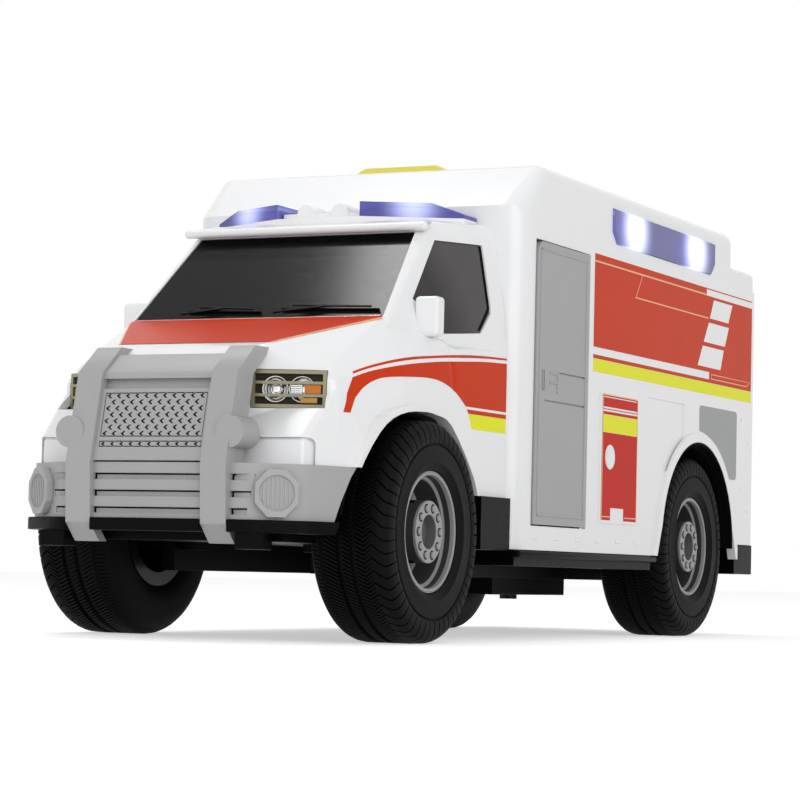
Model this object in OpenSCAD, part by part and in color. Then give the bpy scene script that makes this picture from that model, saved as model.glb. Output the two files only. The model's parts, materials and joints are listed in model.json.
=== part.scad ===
// Toy ambulance: a box body behind a short cab, on two free-rolling axles.
// The front faces -Y, the vehicle's left side is +X, and the wheels stand on Z = 0.

/* [Overall] */
// Overall length, bull bar to rear bumper
overall_length = 304; // [296:1:316]
// Width of the box body over its walls
box_width = 103.4; // [101:0.2:108]
// Height of the raised box roof
roof_height = 131; // [129:0.5:137]
// Height of the low roof behind the raised part
rear_roof_height = 120.3; // [118.3:0.1:124]
// Length of the low roof
rear_roof_length = 21.4; // [18:0.2:26]
// Height of the joint between the box walls and the roof moulding
wall_top = 114; // [113.5:0.1:114.5]
// Height of the lower edge of the box walls
skirt_height = 24.8; // [24:0.1:26]
// Wall thickness of the mouldings
wall = 2; // [1.8:0.1:2.3]
// Reach of the rear bumper behind the box
bumper_reach = 2.6; // [2:0.1:5]
// Gap around doors, lenses and the roof button
part_gap = 0.4; // [0.3:0.05:0.6]
// Gap around the set-in glazing and lamps
seat_gap = 0.15; // [0.1:0.05:0.25]

/* [Running gear] */
// Distance between the axles
wheelbase = 191; // [187:0.5:195]
// Distance from the bull bar to the front axle
front_overhang = 57.3; // [56:0.1:60]
// Outside diameter of the tyres
tyre_diameter = 56.4; // [54:0.2:58]
// Width of a tyre
tyre_width = 22.4; // [21:0.2:25]
// Width over the outer faces of the tyres
track_outside = 102; // [100:0.5:104]
// Diameter of the rim barrel inside the tyre
rim_diameter = 31; // [29:0.2:33]
// Width of the raised lip of a rim
rim_lip = 1.6; // [1.2:0.1:2]
// Depth of the rim's dish
rim_dish = 9; // [6:0.5:11]
// Diameter of the hub disc that carries the nuts
hub_diameter = 14.4; // [13:0.2:17]
// Depth of the hub disc behind the rim's lip
hub_depth = 0.3; // [0.2:0.1:4]
// Diameter of the recess in the middle of the hub disc
hub_recess = 7.6; // [5:0.2:7.6]
// Number of wheel nuts
nut_count = 10; // [6:1:12]
// Width of a wheel nut
nut_width = 1.5; // [1:0.1:1.6]
// Diameter of the steel axles
axle_diameter = 4; // [3:0.1:4.4]
// Radial running clearance of an axle in its bearings
axle_clearance = 0.06; // [0.03:0.01:0.1]
// Distance from the tyre to the rear wheel arch
arch_gap = 4.7; // [3.5:0.1:5.5]

/* [Cab] */
// Distance from the bull bar to the box front
cab_reach = 107; // [105:0.5:110]
// Depth of the bull bar in front of the cab
bull_bar_depth = 14; // [13.4:0.1:15]
// Width of the cab
cab_width = 96; // [94:0.2:99]
// Height of the hood's front edge
hood_front_height = 73.2; // [72:0.1:75]
// Height of the hood where it meets the windscreen
hood_rear_height = 82.6; // [81:0.1:84]
// Distance from the bull bar to the windscreen's lower edge
windscreen_reach = 51.5; // [50:0.1:54]
// Run of the windscreen from its lower to its upper edge
windscreen_run = 28.3; // [26:0.1:30]
// Height of the windscreen's upper edge
windscreen_top = 107.5; // [106:0.1:109]
// Height of the cab roof
cab_roof_height = 113; // [112.4:0.1:113.4]
// Height of the fender's bulge under the headlights
fender_block_top = 50.6; // [49:0.1:52]
// Height of the sill behind the front wheels
sill_height = 38.4; // [37:0.1:40]
// Radius of the cab's rounded edges
cab_edge = 3; // [2.6:0.1:3.4]

/* [Front end] */
// Height of the bumper's lower edge
bumper_bottom = 29.5; // [29:0.1:31]
// Height of the bumper's upper edge
bumper_top = 43; // [42:0.1:44]
// Thickness of the bumper
bumper_wall = 3; // [2.4:0.1:3.6]
// Depth of a bull bar post
post_depth = 8; // [6:0.1:8.4]
// Width of a bull bar post
post_width = 7; // [5.5:0.1:8]
// Distance between the two posts
post_spacing = 38; // [36:0.2:40]
// Diameter of the round bosses on the posts
boss_diameter = 7.8; // [7:0.1:9]
// Width of a headlight
headlight_width = 18.8; // [17:0.1:19.2]
// Height of a headlight
headlight_height = 9.6; // [8:0.1:10.5]
// Diameter across a fog lamp
fog_lamp_diameter = 12; // [10:0.2:12.6]

/* [Doors] */
// Distance from the box front to the side door
side_door_offset = 9.5; // [9.2:0.1:12]
// Width of the side door
side_door_width = 38.8; // [34:0.2:41]
// Height of the side door's lower edge
side_door_bottom = 31.8; // [31:0.1:34]
// Height of the side door's upper edge
side_door_top = 109.4; // [106:0.1:110.6]
// Thickness of the doors
door_thickness = 3; // [2.6:0.1:3.4]
// Radius of the side door's upper corner
door_corner = 4; // [2:0.5:8]
// Width of the frame post beside the rear doorway
rear_post_width = 7.2; // [6.2:0.1:11]
// Width of the rear doorway between the posts
rear_doorway = box_width - 2 * rear_post_width;
// Diameter of the hinge pins
pin_diameter = 1.2; // [1:0.1:1.3]
// Radial running clearance of a door on its pin
pin_clearance = 0.06; // [0.03:0.01:0.1]

/* [Lights and button] */
// Length of a side light lens
side_lens_length = 88; // [80:0.5:96]
// Height of a side light lens
side_lens_height = 10; // [8:0.2:10.6]
// Depth of the pocket behind a side light lens
side_lens_depth = 4; // [3.6:0.1:5]
// Width over the cab light bar
light_bar_width = 76; // [72:0.5:78]
// Height of the light bar lenses above the cab roof
light_bar_height = 4; // [3.6:0.1:5]
// Diameter of an LED
led_diameter = 4.8; // [3.8:0.1:5]
// Length of the roof button across the vehicle
button_length = 29; // [24:0.5:32]
// Width of the roof button along the vehicle
button_width = 14; // [12:0.5:16]
// Height of the roof button above the roof
button_height = 3.6; // [3:0.1:6]
// Travel of the roof button
button_travel = 1.6; // [1.2:0.1:1.8]

/* [Inside] */
// Diameter of a battery cell
cell_diameter = 10.5; // [10:0.1:10.6]
// Length of a battery cell
cell_length = 44.5; // [40:0.5:46]
// Number of battery cells
cell_count = 3; // [2:1:3]
// Diameter of the speaker
speaker_diameter = 30; // [24:0.5:34]
// Thickness of the circuit board
board_thickness = 1.6; // [1.2:0.1:2]
// Thickness of the cargo floor
floor_thickness = 2; // [1.6:0.1:2.4]

/* [Hidden] */
$fn = 64;
eps = 0.01;
ball_fn = 24;

white_abs = "white";
grey_abs = [0.64, 0.64, 0.65];
black_abs = [0.11, 0.1, 0.11];
blue_clear = [0.3, 0.3, 0.75, 0.8];
smoke_clear = [0.13, 0.13, 0.14, 0.9];
steel = "silver";

// Main stations along the vehicle
y_front = -overall_length / 2;
y_rear = overall_length / 2;
axle_f = y_front + front_overhang;
axle_r = axle_f + wheelbase;
axle_z = tyre_diameter / 2;
cab_front = y_front + bull_bar_depth;
box_front = y_front + cab_reach;
box_rear = y_rear - bumper_reach;
roof_end = box_rear - rear_roof_length;
box_hw = box_width / 2;
box_in = box_hw - wall;
cab_hw = cab_width / 2;

// Chassis levels and outlines
tyre_out = track_outside / 2;
tyre_in = tyre_out - tyre_width;
wheel_gap = 4.6;
pan_hw = tyre_in - wheel_gap;
pan_bottom = 24.4;
pan_top = pan_bottom + 2;
pan_front = cab_front - 4;
cross_hw = pan_hw + 10;
rail_bottom = 17;
rail_thickness = 4;
bearing_length = 8;
bearing_hw = 5;
floor_bottom = axle_z + 5.3;
floor_top = floor_bottom + floor_thickness;
board_bottom = 20.4;
board_width = 8;
board_inset = 1.2;
arm_width = 8;
step_front = axle_f + tyre_diameter / 2 + 2.6;
step_hw = cab_hw + 1.6;

// Rear wheel arch
arch_r = tyre_diameter / 2 + arch_gap;
arch_half = arch_r + 3.4;
arch_lip = 3;
lip_proud = 0.8;
tub_wall = 1.6;
tub_hl = arch_r + 2;
tub_top = axle_z + arch_r + 1;
tub_in = tyre_in - 3;
rear_bumper_front = axle_r + arch_half + 1.4;
rear_bumper_bottom = 20;
rear_bumper_top = 29.7;
tail_lamp_edge = 1.4;
tail_lamp_rise = 5;
tail_lamp_height = 18;

// Battery bay under the pan
cell_pitch = cell_diameter + 1;
cover_thickness = 1.4;
cell_axis = pan_bottom - 0.2 - cell_diameter / 2;
cover_top = cell_axis - cell_diameter / 2 - 0.2;
cover_bottom = cover_top - cover_thickness;
bay_in_hw = cell_pitch * cell_count / 2 + 0.5;
bay_hw = bay_in_hw + 2.5;
bay_front = 10;
contact_plate = 0.5;
contact_spring = 4.9;
bay_in_front = bay_front + 2;
bay_in_length = cell_length + contact_spring + 2 * contact_plate + 0.1;
bay_rear = bay_in_front + bay_in_length + 2;
cover_boss_d = 8;
cover_screw_y = bay_rear + cover_boss_d / 2 - 0.5;

// Screws
screw_d = 2.5;
screw_head_d = 5.4;
screw_head_h = 1.6;
screw_hole_gap = 0.02;
screw_x = pan_hw / 2;
screw_y = [box_front + 14, cover_screw_y + 14, box_rear - 12];
boss_d = 7;

// Cab form: centres of the balls that round its edges
nose_y = cab_front + cab_edge;
shield_y = y_front + windscreen_reach;
shield_top_y = shield_y + windscreen_run;
cab_low = sill_height - 4;
side_x = cab_hw - cab_edge;
block_edge = cab_edge - 0.6;
nose_points = [
    [12.9, nose_y, cab_low],
    [12.9, nose_y + 0.6, hood_front_height - cab_edge - 2],
    [20.5, nose_y + 4.4, hood_front_height - cab_edge],
    [side_x - 8.5, nose_y + 8.9, cab_low],
    [side_x - 8.7, nose_y + 9.2, hood_front_height - 10],
    [side_x - 10.5, nose_y + 11, hood_front_height - 6.6],
    [side_x - 4.7, nose_y + 19, cab_low],
    [side_x - 6, nose_y + 20.4, hood_front_height - 6],
    [side_x - 1.6, axle_f - 9.6, cab_low],
    [side_x - 2.8, axle_f - 8.4, hood_front_height - 4],
    [35.5, shield_y + 1, hood_rear_height - cab_edge],
    [side_x - 0.3, axle_f + 24, cab_low],
    [side_x - 1.2, axle_f + 14, hood_front_height + 2],
];
// Bulged lower part of the fender, from under the headlight forward to the bumper
block_upper = fender_block_top + 6 - block_edge;
block_lower = fender_block_top - block_edge;
block_points = [
    [21, nose_y + 2.8, block_upper],
    [side_x - 9.8, nose_y + 8.2, block_upper],
    [side_x - 4.6, nose_y + 18.8, block_upper],
    [side_x - 1.6, axle_f - 9.6, block_upper],
    [side_x - 7.6, nose_y + 9.4, block_upper + 6.4],
    for (z = [cab_low, block_lower]) each [
        [22, cab_front - 1.2, z],
        [side_x - 9.1, cab_front - 0.9, z],
        [side_x - 5.4, cab_front + 7.6, z],
        [side_x - 2.7, cab_front + 16.2, z],
        [side_x - 0.8, cab_front + 27, z],
    ],
];
green_points = [
    [36.6, shield_y + 2.2, hood_rear_height - cab_edge - 0.4],
    [38.6, shield_y + 9, hood_rear_height - 5],
    [33, shield_top_y + 2, windscreen_top - 2.2],
    [31.5, shield_top_y + 5, cab_roof_height - cab_edge - 1.4],
    [side_x - 5.4, box_front + 3, cab_roof_height - cab_edge],
    [side_x - 1.4, box_front + 3, hood_rear_height + 9],
    [side_x, box_front + 3, hood_rear_height - 7],
];
door_zone_points = [
    [side_x, box_front + 3, cab_low],
    [side_x, box_front + 3, hood_rear_height - 7],
    [side_x - 0.3, axle_f + 22, cab_low],
    [side_x - 1, axle_f + 18, hood_front_height + 1],
];
// Points on a smooth line through corners, with a number of steps between corners
function smooth_line(p, steps) = [
    for (i = [0 : len(p) - 2]) let (
        a = p[max(i - 1, 0)], b = p[i], c = p[i + 1], d = p[min(i + 2, len(p) - 1)]
    ) for (j = [0 : steps - 1]) let (t = j / steps)
        b + 0.5 * t * (c - a + t * (2 * a - 5 * b + 4 * c - d + t * (3 * b - a - 3 * c + d))),
    p[len(p) - 1]
];
// Front wheel arch in the cab, from the front foot over the top to the rear foot
arch_corners = [
    [axle_f - 40, axle_z - 4], [axle_f - 33, axle_z + 12], [axle_f - 23.2, axle_z + 23.8],
    [axle_f - 14, axle_z + 28.8], [axle_f - 3, axle_z + 30.2], [axle_f + 6, axle_z + 29.8],
    [axle_f + 14, axle_z + 27.6], [axle_f + 25.6, axle_z + 17], [axle_f + 30.6, axle_z + 9],
    [axle_f + 33, axle_z - 4]
];
cab_arch = smooth_line(arch_corners, 3);
// Outer reach of the arch's lip at stations along the cab
flare_reach = [
    [axle_f - 45, cab_hw - 4.2], [axle_f - 32, cab_hw - 2.6], [axle_f - 10, cab_hw - 0.4],
    [axle_f + 30, cab_hw + 0.8]
];
flare_r = 1.6;
flare_depth = 4;
// Side window, from its front corner over the top
window_outline = [
    [shield_y + 13.5, hood_rear_height + 5.6], [shield_top_y + 3.2, windscreen_top - 1.8],
    [box_front - 5.4, windscreen_top - 1.2], [box_front - 6.8, hood_rear_height + 5],
    [box_front - 12.5, hood_rear_height - 0.8], [shield_y + 23.5, hood_rear_height - 2.6]
];
shield_outline = [
    [-36.9, hood_rear_height + 0.3], [36.9, hood_rear_height + 0.3],
    [32.6, windscreen_top], [-32.6, windscreen_top]
];
glass_thickness = wall - 0.4;
// Pocket in the front of the fender, under the headlight
pocket_depth = wall / 2;
pocket_inner = 14;
pocket_outer = side_x - 6;
pocket_top = fender_block_top - 1;
pocket_corner = 1.6;

// Front end
bumper_y = y_front + 1.6;
// Half of the bumper's plan, from the middle round the corner to the wheel arch
bumper_half = [
    [0, bumper_y], [14, bumper_y + 0.2], [24, bumper_y + 0.8], [27.4, bumper_y + 1.8],
    [37, bumper_y + 7.8], [39.4, bumper_y + 11], [42.2, bumper_y + 18.6], [44.6, bumper_y + 26],
    [44.9, axle_f - 20], [0, axle_f - 20]
];
fog_angle = atan2(bumper_half[4][1] - bumper_half[3][1], bumper_half[4][0] - bumper_half[3][0]);
fog_shift = 0.7;
skid_proud = 1.6;
skid_depth = 26;
hanger_width = 7;
post_x = post_spacing / 2;
post_in = post_x - post_width / 2;
post_top = hood_front_height - 1.2;
post_kink = hood_front_height - 8;
// Front line of the bull bar, as reach behind its foremost point by height
post_front = [
    [bumper_bottom - 5.8, 5.4], [bumper_bottom - 1.2, 0.8], [bumper_top, 0],
    [post_kink, 4.6], [post_top, 13]
];
boss_z = bumper_top + 7.4;
grille_set_back = 1.2;
grille_depth = 3;
grille_bottom = bumper_top + 3.2;
grille_top = post_kink - 1.5;
slat_heights = [bumper_bottom + 1.9, bumper_bottom + 6, bumper_bottom + 10.1];
slat_depth = 1.2;
light_x = 19.6;
light_angle = 21.1;
light_z = hood_front_height - 11.4;

// Light bar on the cab roof
bar_hw = light_bar_width / 2;
bar_inner = 12.6;
bar_rear = box_front - 0.4;
bar_nose = box_front - 21;
bar_base_top = cab_roof_height + 0.4;
bar_lens_top = bar_base_top + light_bar_height;
bar_shell = 1.3;
bar_led_x = 23;
led_gap = 0.2;
bar_slope = 8;
bar_end_height = 1;
bar_led_y = box_front - 9.5;

// Box
box_corner = 8;
roof_edge = 4;
roof_front_slope = 13;
panel_front = box_front + box_corner;
side_lens_mid = axle_r - 32;
side_lens_bottom = wall_top + 1.3;
side_led_offset = 26.4;
side_led_z = side_lens_bottom + 5.9;
lens_proud = 0.6;
lens_skin = 1.6;
// Locker door and set-in panel on the box sides
locker_offset = 11;
locker_width = 30.5;
locker_height = 37.5;
locker_top = skirt_height + 46.2;
locker_proud = 0.4;
panel_gap = 7.4;
panel_rise = 1.3;
inset_width = 33.2;
inset_height = 21.5;
inset_depth = 0.5;

// Doors
hinge_x = box_hw - wall / 2;
door_front = box_front + side_door_offset;
door_rear = door_front + side_door_width;
hinge_y = door_rear - door_thickness / 2;
rear_hinge_y = box_rear - wall / 2;
rear_hinge_x = rear_doorway / 2 - part_gap - door_thickness / 2;
rear_door_bottom = floor_top + part_gap;
floor_rear = rear_hinge_y - door_thickness / 2 - part_gap;
rear_door_top = side_door_top;
pin_end_gap = 0.5;

// Roof button and electronics
button_y = box_front + 36;
button_lip = 1.5;
button_lip_t = 2;
lip_gap = 0.05;
button_stem_d = 3;
stem_clearance = 0.08;
board_top = roof_height - 12.4;
board_hl = 18;
board_hw = 20;
post_d = 5;
switch_size = 7;
switch_height = 4;
speaker_height = 6;
speaker_offset = 60;
speaker_y = button_y + speaker_offset;

// A block between two corners, given as ranges on each axis
module slab(x, y, z) {
    translate([x[0], y[0], z[0]])
        cube([x[1] - x[0], y[1] - y[0], z[1] - z[0]]);
}

// The children and their mirror image on the other side of the vehicle
module both_sides() {
    children();
    mirror([1, 0, 0]) children();
}

// A (y, z) outline run along X
module across(x0, x1) {
    translate([x0, 0, 0]) rotate([90, 0, 90]) linear_extrude(x1 - x0) children();
}

// A (x, z) outline run along Y
module along(y0, y1) {
    translate([0, y1, 0]) rotate([90, 0, 0]) linear_extrude(y1 - y0) children();
}

// A screw pointing up, with its head below z = 0
module screw_up(length) {
    translate([0, 0, -screw_head_h]) cylinder(d = screw_head_d, h = screw_head_h);
    cylinder(d = screw_d, h = length);
}

// Convex form through rounded corners, on both sides of the vehicle
module rounded_form(points, r) {
    hull() both_sides() for (p = points) translate(p) sphere(r, $fn = ball_fn);
}

module cab_form(r) {
    rounded_form(nose_points, r);
    rounded_form(green_points, r);
    rounded_form(door_zone_points, r);
    rounded_form(block_points, r - cab_edge + block_edge);
}

// Thin layer of the glasshouse skin where the glazing lies
module glass_layer() {
    difference() {
        rounded_form(green_points, cab_edge - 0.4);
        rounded_form(green_points, cab_edge - 0.4 - glass_thickness);
    }
}

module chassis() {
    color(black_abs)
    difference() {
        union() {
            slab([-pan_hw, pan_hw], [pan_front, box_rear], [pan_bottom, pan_top]);
            both_sides() {
                slab([pan_hw - rail_thickness, pan_hw], [axle_f - 8, axle_r + 8], [rail_bottom, pan_top]);
                for (y = [axle_f, axle_r])
                    slab([pan_hw - bearing_length, pan_hw], [y - bearing_hw, y + bearing_hw],
                        [pan_bottom - 2, floor_bottom]);
                slab([box_hw - board_width, box_hw - board_inset],
                    [box_front + 1, axle_r - arch_half - 1], [board_bottom, skirt_height]);
                for (y = [box_front + 10, 0, axle_r - arch_half - arm_width])
                    slab([pan_hw - 1, box_hw - board_width + 1], [y, y + arm_width],
                        [board_bottom, skirt_height]);
                slab([pan_hw - 1, step_hw], [step_front, box_front], [pan_bottom, sill_height]);
            }
            slab([-cross_hw, cross_hw], [pan_front - 1, axle_f - tyre_diameter / 2 - 4],
                [pan_bottom, pan_top]);
            slab([-(box_hw - board_width - 0.4), box_hw - board_width - 0.4],
                [rear_bumper_front + 2, box_rear], [pan_bottom, pan_top]);
            slab([-bay_hw, bay_hw], [bay_front, bay_rear], [cover_top, pan_bottom + eps]);
            translate([0, cover_screw_y, cover_top])
                cylinder(d = cover_boss_d, h = pan_bottom - cover_top + eps);
        }
        slab([-bay_in_hw, bay_in_hw], [bay_in_front, bay_in_front + bay_in_length],
            [cover_top - 1, pan_bottom]);
        for (y = [axle_f, axle_r]) {
            translate([-pan_hw - 1, y, axle_z]) rotate([0, 90, 0])
                cylinder(r = axle_diameter / 2 + axle_clearance, h = 2 * pan_hw + 2);
            slab([-(pan_hw - bearing_length), pan_hw - bearing_length],
                [y - axle_diameter, y + axle_diameter], [pan_bottom - 1, pan_top + 1]);
        }
        both_sides() for (y = screw_y)
            translate([screw_x, y, pan_bottom - 1]) cylinder(d = screw_d + 0.4, h = 4);
        translate([0, cover_screw_y, cover_top - 1])
            cylinder(d = screw_d + screw_hole_gap, h = 10.5);
    }
}

module battery_cover() {
    color(black_abs)
    difference() {
        union() {
            slab([-bay_hw, bay_hw], [bay_front, bay_rear], [cover_bottom, cover_top]);
            translate([0, cover_screw_y, cover_bottom]) cylinder(d = cover_boss_d, h = cover_thickness);
        }
        translate([0, cover_screw_y, cover_bottom - 1])
            cylinder(d = screw_d + 0.4, h = cover_thickness + 2);
    }
}

module battery_cells() {
    color("goldenrod")
    for (i = [0 : cell_count - 1])
        translate([(i - (cell_count - 1) / 2) * cell_pitch, bay_in_front + contact_plate, cell_axis])
            rotate([-90, 0, 0]) {
                cylinder(d = cell_diameter, h = cell_length - 0.8);
                cylinder(d = cell_diameter * 0.36, h = cell_length);
            }
}

module battery_contacts() {
    rear = bay_in_front + bay_in_length;
    plate_hw = bay_in_hw - 0.3;
    plate_z = [cover_top + 0.4, pan_bottom - 0.4];
    color(steel) {
        slab([-plate_hw, plate_hw], [bay_in_front, bay_in_front + contact_plate], plate_z);
        slab([-plate_hw, plate_hw], [rear - contact_plate, rear], plate_z);
        for (i = [0 : cell_count - 1])
            translate([(i - (cell_count - 1) / 2) * cell_pitch, rear - contact_plate + eps, cell_axis])
                rotate([90, 0, 0]) cylinder(d1 = 7, d2 = 5, h = contact_spring);
    }
}

module battery_cover_screw() {
    color(steel) translate([0, cover_screw_y, cover_bottom]) screw_up(cover_thickness + 9);
}

module assembly_screws() {
    color(steel) both_sides() for (y = screw_y)
        translate([screw_x, y, pan_bottom]) screw_up(floor_top - pan_bottom - 0.6);
}

module axle(y) {
    color(steel) translate([-(tyre_out - rim_dish - 1), y, axle_z]) rotate([0, 90, 0])
        cylinder(d = axle_diameter, h = 2 * (tyre_out - rim_dish - 1));
}
module front_axle() { axle(axle_f); }
module rear_axle() { axle(axle_r); }

// A wheel part on the left side; its profile runs outward along +X
module on_axle(y) {
    translate([0, y, axle_z]) rotate([0, 90, 0]) children();
}

module rim(y) {
    r = rim_diameter / 2;
    bore = axle_diameter / 2 + screw_hole_gap;
    out = tyre_out - 1.4;
    face = out - rim_dish;
    hub_r = hub_diameter / 2;
    hub_face = out - hub_depth;
    inner = tyre_in + 1.2;
    dish_r = r - rim_lip - 0.8;
    nut_height = 0.6;
    color([0.55, 0.55, 0.56])
    on_axle(y) difference() {
        union() {
            rotate_extrude() polygon([
                [bore, inner - 1.6], [6, inner - 1.6], [6, face - 2.5], [dish_r - 1.2, face - 2.5],
                [dish_r - 1.2, inner], [r, inner], [r, out], [r - rim_lip, out],
                [r - rim_lip - 0.2, out - 1.2], [dish_r, out - 1.6], [dish_r - 0.4, face],
                [hub_r + 1.4, face], [hub_r, face + 3], [hub_r, hub_face - 0.4], [hub_r - 0.4, hub_face],
                [hub_recess / 2, hub_face], [hub_recess / 2, face + 0.6], [bore, face + 0.6]
            ]);
            for (i = [0 : nut_count - 1]) rotate(360 / nut_count * i)
                translate([hub_r - 1.9, 0, hub_face - eps]) cylinder(d = nut_width, h = nut_height, $fn = 6);
        }
        for (i = [0 : nut_count - 1]) rotate(360 / nut_count * (i + 0.5))
            translate([0, 0, face - 1.4]) linear_extrude(3) polygon([
                [hub_r + 1.8, 0], [dish_r - 0.9, 1.7], [dish_r - 0.9, -1.7]
            ]);
    }
}
module front_left_rim() { rim(axle_f); }
module front_right_rim() { mirror([1, 0, 0]) rim(axle_f); }
module rear_left_rim() { rim(axle_r); }
module rear_right_rim() { mirror([1, 0, 0]) rim(axle_r); }

function arc_points(centre, r, from, to, steps = 6) =
    [for (i = [0 : steps]) let (a = from + (to - from) * i / steps)
        [centre[0] + r * cos(a), centre[1] + r * sin(a)]];

module tyre(y) {
    r_out = tyre_diameter / 2;
    r_in = rim_diameter / 2 + screw_hole_gap;
    shoulder = 3.4;
    inner_shoulder = 5;
    groove = 0.9;
    color([0.17, 0.16, 0.17])
    on_axle(y) rotate_extrude($fn = 96) polygon(concat(
        [[r_in, tyre_in + 1.4], [r_in + 2.4, tyre_in]],
        arc_points([r_out - inner_shoulder, tyre_in + inner_shoulder], inner_shoulder, -90, 0),
        [[r_out, tyre_in + 9], [r_out - groove, tyre_in + 9.5], [r_out - groove, tyre_in + 10.5],
            [r_out, tyre_in + 11]],
        [[r_out, tyre_out - 11], [r_out - groove, tyre_out - 10.5], [r_out - groove, tyre_out - 9.5],
            [r_out, tyre_out - 9]],
        arc_points([r_out - shoulder, tyre_out - shoulder], shoulder, 0, 90),
        [[r_in + 2.4, tyre_out], [r_in, tyre_out - 1.4]]
    ));
}
module front_left_tyre() { tyre(axle_f); }
module front_right_tyre() { mirror([1, 0, 0]) tyre(axle_f); }
module rear_left_tyre() { tyre(axle_r); }
module rear_right_tyre() { mirror([1, 0, 0]) tyre(axle_r); }

// Rounded lip that follows the front wheel arch
module arch_flare() {
    for (i = [0 : len(cab_arch) - 2]) hull() for (p = [cab_arch[i], cab_arch[i + 1]])
        translate([lookup(p[0], flare_reach) - flare_depth, p[0], p[1]]) rotate([0, 90, 0])
            cylinder(r = flare_r, h = flare_depth, $fn = 16);
}

// Pockets pressed into the fender's front below the headlights
module fender_pockets() {
    intersection() {
        difference() {
            cab_form(cab_edge + eps);
            cab_form(cab_edge - pocket_depth);
        }
        both_sides() along(y_front, cab_front + 14) offset(pocket_corner) offset(-pocket_corner)
            polygon([
                [pocket_inner, bumper_top - 4], [pocket_outer, bumper_top - 4],
                [pocket_outer, pocket_top], [pocket_inner, pocket_top]
            ]);
    }
}

// Rounded lip above the windscreen
module visor() {
    hull() both_sides() {
        translate([35.6, shield_top_y - 1.6, windscreen_top + 1.4]) sphere(1.2, $fn = ball_fn);
        translate([33, shield_top_y + 6, cab_roof_height - 2.8]) sphere(1.4, $fn = ball_fn);
    }
}

// Holes for the light bar's LEDs in the cab roof and the bar's base
module bar_led_holes() {
    both_sides() translate([bar_led_x, bar_led_y, cab_roof_height - 6])
        cylinder(d = led_diameter + led_gap, h = 12);
}

// Frame of the left headlight: x runs along the slanted front face, y goes inward
module headlight_frame() {
    face_y = cab_front + (light_x - 14) * tan(light_angle);
    translate([light_x, face_y, light_z]) rotate([0, 0, light_angle]) children();
}

module cab_shell() {
    color(white_abs)
    difference() {
        union() {
            cab_form(cab_edge);
            both_sides() arch_flare();
            visor();
        }
        cab_form(cab_edge - wall);
        both_sides() {
            across(20, cab_hw + 10) polygon(concat(cab_arch, [[axle_f, axle_z - 30]]));
            across(20, cab_hw + 10) polygon(window_outline);
            headlight_frame() slab([0, headlight_width], [-9, 8],
                [-headlight_height / 2, headlight_height / 2]);
        }
        along(shield_y - 12, shield_top_y + 12) polygon(shield_outline);
        bar_led_holes();
        fender_pockets();
        slab([-cab_width, cab_width], [y_front - 5, axle_f], [0, bumper_top]);
        slab([-cab_width, cab_width], [axle_f, box_rear], [0, sill_height]);
        slab([-cab_width, cab_width], [box_front, box_rear], [0, cab_roof_height + 10]);
    }
}

module windscreen() {
    color(smoke_clear) intersection() {
        glass_layer();
        along(shield_y - 12, shield_top_y + 12) offset(delta = -seat_gap) polygon(shield_outline);
    }
}

module side_window_left() {
    color(smoke_clear) intersection() {
        glass_layer();
        across(20, cab_hw + 10) offset(delta = -seat_gap) polygon(window_outline);
    }
}
module side_window_right() { mirror([1, 0, 0]) side_window_left(); }

module wipers() {
    color(black_abs) intersection() {
        difference() {
            rounded_form(green_points, cab_edge + 0.7);
            rounded_form(green_points, cab_edge - 0.4);
        }
        along(shield_y - 12, shield_top_y) for (x = [-16, 8]) translate([x, hood_rear_height + 1]) {
            rotate(3) square([24, 0.9]);
            rotate(6) translate([-1, -0.4]) square([14, 0.8]);
        }
    }
}

module mirror_left() {
    head_x = [cab_hw - 7.4, cab_hw - 1];
    head_z = [hood_rear_height - 4, hood_rear_height + 6];
    y = shield_y + 13.4;
    color(white_abs) difference() {
        union() {
            hull() for (x = head_x, z = head_z, dy = [0, 2.4])
                translate([x + (x == head_x[0] ? 1 : -1), y + dy, z + (z == head_z[0] ? 1 : -1)])
                    sphere(1.2, $fn = ball_fn);
            slab([head_x[0] - 4, head_x[0] + 3], [y, y + 2.4], [head_z[0] - 4, head_z[0] + 2]);
        }
        cab_form(cab_edge);
    }
}
module mirror_right() { mirror([1, 0, 0]) mirror_left(); }

// Lamp insert with two bowls, an indicator and two guard bars
module headlight_left() {
    w = headlight_width - seat_gap;
    h = headlight_height / 2 - seat_gap;
    face = 0.5;
    bowl = headlight_height / 2 - 1.4;
    color([0.6, 0.58, 0.46]) headlight_frame() {
        difference() {
            slab([seat_gap, w], [face, 5.4], [-h, h]);
            slab([1.1, w - 0.9], [face - 1, face + 1.6], [-h + 0.9, h - 0.9]);
            for (x = [6, 12.6]) translate([x, face + 1.5, 0]) rotate([-90, 0, 0])
                cylinder(r = bowl, h = 2);
        }
        for (x = [6, 12.6]) translate([x, face + 3.5, 0]) rotate([90, 0, 0])
            cylinder(r1 = 1.6, r2 = 1, h = 1.4);
        for (z = [-h / 3, h / 3]) slab([1, w - 0.8], [face, face + 0.9], [z - 0.35, z + 0.35]);
    }
}
module headlight_right() { mirror([1, 0, 0]) headlight_left(); }

// Plan outline of the bumper
module bumper_plan() {
    polygon(bumper_half);
    mirror([1, 0]) polygon(bumper_half);
}

// Space that the front wheel turns in, through both sides
module arch_cut() {
    across(-box_width, box_width) polygon(concat(cab_arch, [[axle_f, axle_z - 30]]));
}

// Bull bar profile between two heights, set back from its front line, as a (y, z) outline
module front_strip(z0, z1, set_back, depth) {
    levels = concat([z0], (z0 < post_kink && z1 > post_kink) ? [post_kink] : [], [z1]);
    last = len(levels) - 1;
    front = [for (z = levels) [y_front + lookup(z, post_front) + set_back, z]];
    polygon(concat(front, [for (i = [0 : last]) front[last - i] + [depth, 0]]));
}

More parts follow.
